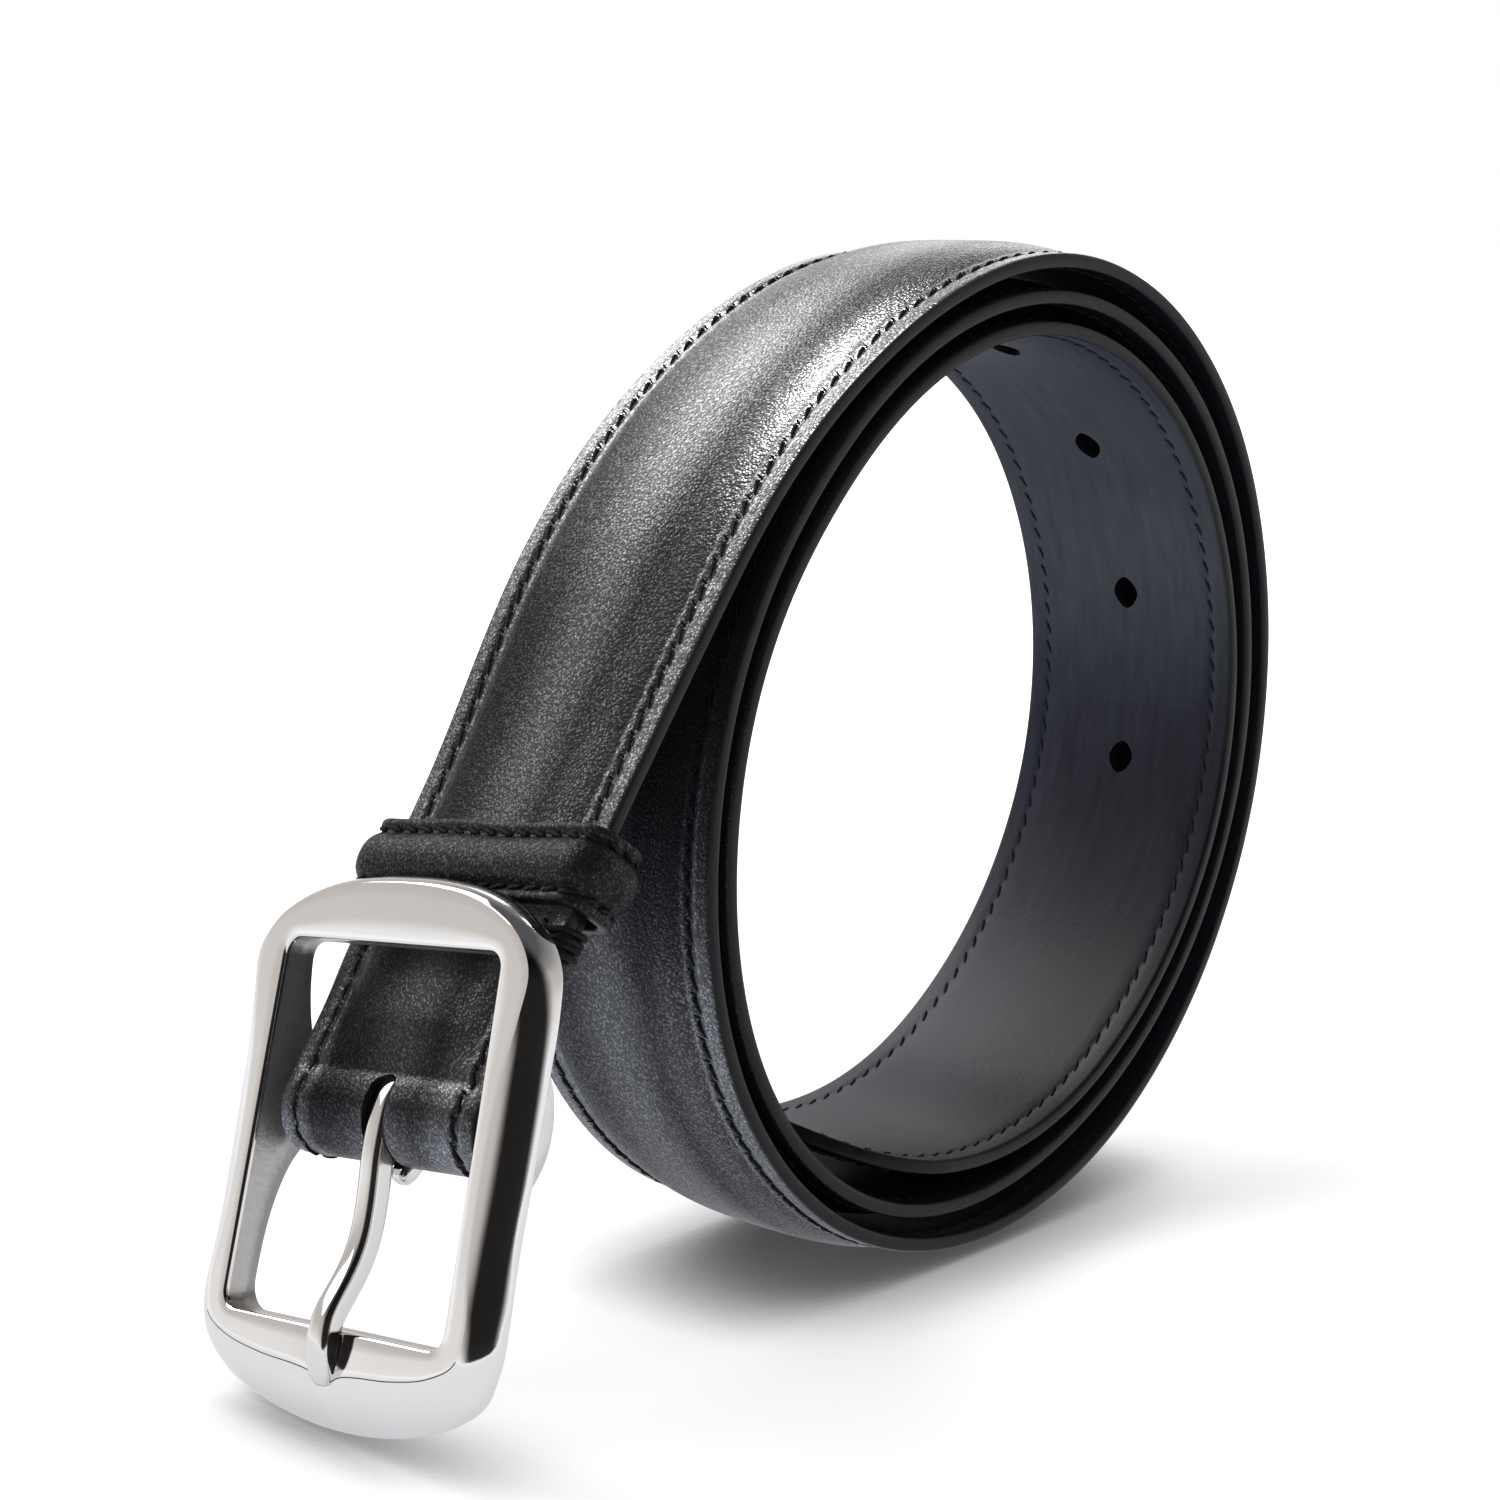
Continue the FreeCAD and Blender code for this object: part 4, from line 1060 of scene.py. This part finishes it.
# ---------------------------------------------------------- materials on CAD nodes
CAD_METALS = {"buckle_bar": BAR_STEEL, "buckle_frame": NICKEL, "buckle_prong": PRONG_NICKEL}
for name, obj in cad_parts.items():
    material = CAD_METALS.get(name)
    if material is None:
        if "stitch" in name or "whip" in name:
            material = THREAD
        else:
            material = LINING if "lining" in name else FACE_LEATHER
    obj.data.materials.clear()
    obj.data.materials.append(material)


for obj in (strap_end, threads_end):
    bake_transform(obj)
for obj in (strap_tip, threads_tip):
    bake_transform(obj)
for obj in (strap_coil, strap_holes, threads_coil):
    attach(obj, "coil")
for obj in (keeper, keeper_threads, whipping):
    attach(obj, "buckle_end")
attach(buckle, "buckle")
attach(prong, "prong")

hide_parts("end_face_leather", "end_filler", "end_lining")
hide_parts("end_stitches_near", "end_stitches_far")
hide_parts("coil_face_leather", "coil_filler", "coil_lining")
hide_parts("coil_stitches_near", "coil_stitches_far")
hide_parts("tip_face_leather", "tip_filler", "tip_lining")
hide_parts("tip_stitches_near", "tip_stitches_far")
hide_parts("keeper_leather", "keeper_filler")
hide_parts("keeper_stitches_lower", "keeper_stitches_upper")
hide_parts("edge_whipping")
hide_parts("buckle_frame")
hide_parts("buckle_prong")


# ------------------------------------------------------------------------- stage
def floor_white():
    """White floor; contact shadows partly painted in; reflections mostly see a plain pale glow."""
    material, g = new_material("floor_white")
    coords = g.coords()
    mottle = g.noise(coords, scale=40.0, rough=0.5)
    distance = g.node("ShaderNodeVectorMath", operation="LENGTH")
    g.put(distance.inputs[0], coords)
    # glow rises with distance from the middle, so the floor away from the belt reads plain white
    far = g.smoothstep(distance.outputs["Value"], low=0.16, high=0.55)
    # painted contact shadow: an occlusion test darkens the colour and dims the glow near the belt
    # and buckle
    occlusion = g.node("ShaderNodeAmbientOcclusion", samples=8)
    occlusion.inputs["Distance"].default_value = 0.019
    painted_floor_shadow = g.ramp(occlusion.outputs["AO"], [(0.30, 0.25), (0.62, 0.62), (0.92, 1.0)])
    painted_floor_shadow_grey = g.grey(painted_floor_shadow)
    tinted = g.node("ShaderNodeMix", data_type="RGBA", blend_type="MULTIPLY")
    white = g.ramp(mottle, [(0.3, (0.90, 0.90, 0.905)), (0.7, (0.915, 0.915, 0.92))])
    g.fill(tinted, {0: 1.0, 6: white, 7: painted_floor_shadow})      # factor, colour A, colour B
    glow = g.add(g.times(far, 0.6), g.times(painted_floor_shadow_grey, 0.19))
    surface = g.surface(tinted.outputs[2], rough=0.9, specular=0.0, emission=(1.0, 1.0, 1.0),
                        glow=glow)
    reflected = g.fill(g.node("ShaderNodeEmission"),
                       {"Color": (0.80, 0.82, 0.88), "Strength": 0.92})
    glossy = g.node("ShaderNodeLightPath").outputs["Is Glossy Ray"]
    g.output(g.mix_shader(g.times(glossy, 0.75), surface, reflected))
    return material


def build_floor(half_size=6, z=-0.0006):
    """Floor square, in metres."""
    material = floor_white()
    mesh = bpy.data.meshes.new("floor")
    corners = [(x * half_size, y * half_size, z) for x, y in ((-1, -1), (1, -1), (1, 1), (-1, 1))]
    mesh.from_pydata(corners, [], [(0, 1, 2, 3)])
    mesh.materials.append(material)
    obj = bpy.data.objects.new("floor", mesh)
    bpy.context.scene.collection.objects.link(obj)
    return obj


build_floor()


def build_world():
    """White for the camera and diffuse light, a studio for reflections."""
    world = bpy.data.worlds.new("studio")
    bpy.context.scene.world = world
    g = Graph(world)
    direction = g.coords("Generated")
    split = g.node("ShaderNodeSeparateXYZ")
    g.put(split.inputs[0], direction)
    elevation = g.math("MULTIPLY_ADD", split.outputs["Z"], 0.5, 0.5)
    sky = g.ramp(elevation, [
        (0.40, (0.9, 0.9, 0.92)), (0.50, (0.98, 0.98, 0.99)), (0.56, (0.78, 0.76, 0.75)),
        (0.61, (0.64, 0.605, 0.59)), (0.72, (0.56, 0.53, 0.52)), (0.80, (0.30, 0.30, 0.31)),
        (0.92, (0.10, 0.10, 0.11))])
    # dark patch behind and above the camera
    facing = g.node("ShaderNodeVectorMath", operation="DOT_PRODUCT")
    g.fill(facing, {0: direction, 1: Vector((-0.60, -0.72, 0.45)).normalized()})
    dark = g.smoothstep(facing.outputs["Value"], low=0.45, high=0.80)
    keep = g.math("SUBTRACT", 1.0, g.times(dark, 0.975))
    studio = g.fill(g.node("ShaderNodeVectorMath", operation="SCALE"), {0: sky, "Scale": keep})
    glossy = g.node("ShaderNodeLightPath").outputs["Is Glossy Ray"]
    reflected = g.fill(g.node("ShaderNodeBackground"), {"Color": studio})
    white = g.fill(g.node("ShaderNodeBackground"), {"Color": (1.0, 1.0, 1.0), "Strength": 1.0})
    g.output(g.mix_shader(glossy, white, reflected), "ShaderNodeOutputWorld")


build_world()

LIGHT_TARGET = Vector((0.0, 0.0, 0.06))
WHITE = (1.0, 1.0, 1.0)


def area_light(name, direction, distance, width, height, radiance, colour=WHITE):
    """Rectangular light seen from the target in the given direction; metres."""
    direction = Vector(direction).normalized()
    light = bpy.data.lights.new(name, "AREA")
    light.shape = "RECTANGLE"
    light.size, light.size_y = width, height
    light.energy = radiance * math.pi * width * height
    light.color = colour
    obj = bpy.data.objects.new(name, light)
    obj.location = LIGHT_TARGET + direction * distance
    obj.rotation_mode = "QUATERNION"
    obj.rotation_quaternion = direction.to_track_quat("Z", "Y")
    bpy.context.scene.collection.objects.link(obj)
    return obj


area_light("softbox", direction=(-0.22, 0.72, 0.66), distance=0.9, width=0.85, height=0.55,
           radiance=3.6)

# stronger lights for the strap leather alone:
# name, direction, distance, width, height, radiance, colour
LEATHER_LIGHTS = [
    ("leather_box", (0.10, 0.68, 0.72), 0.9, 0.55, 0.30, 13.0, WHITE),
    ("leather_top", (0.02, 0.14, 0.99), 0.9, 0.34, 0.20, 112.0, WHITE),
    ("leather_back", (0.62, 0.64, 0.44), 0.9, 0.60, 0.34, 2.6, WHITE),
    ("leather_bounce", (-0.40, 0.66, -0.62), 0.8, 0.55, 0.50, 34.0, (0.80, 0.85, 1.0))]
leather_lit = bpy.data.collections.new("leather_lit")
for obj in (strap_end, strap_coil, strap_holes, strap_tip):
    leather_lit.objects.link(obj)
for row in LEATHER_LIGHTS:
    light = area_light(*row)
    light.light_linking.receiver_collection = leather_lit
    light.light_linking.blocker_collection = leather_lit

# ------------------------------------------------------------------------ camera
CAMERA_PLACE = (-0.28403, -0.24722, 0.13313)     # metres
CAMERA_HEADING = math.radians(48)                # from +y towards +x
CAMERA_TILT = math.radians(10)                   # downwards


def build_camera():
    scene = bpy.context.scene
    forward = Vector((math.sin(CAMERA_HEADING) * math.cos(CAMERA_TILT),
                      math.cos(CAMERA_HEADING) * math.cos(CAMERA_TILT),
                      -math.sin(CAMERA_TILT)))
    camera = bpy.data.cameras.new("cam")
    camera.lens, camera.sensor_width = 72.0, 36.0
    camera.clip_start, camera.clip_end = 0.01, 50.0
    obj = bpy.data.objects.new("cam", camera)
    obj.location = CAMERA_PLACE
    obj.rotation_mode = "QUATERNION"
    obj.rotation_quaternion = (-forward).to_track_quat("Z", "Y")
    scene.collection.objects.link(obj)
    scene.camera = obj
    scene.view_settings.view_transform = "Standard"
    scene.view_settings.look = "None"


build_camera()
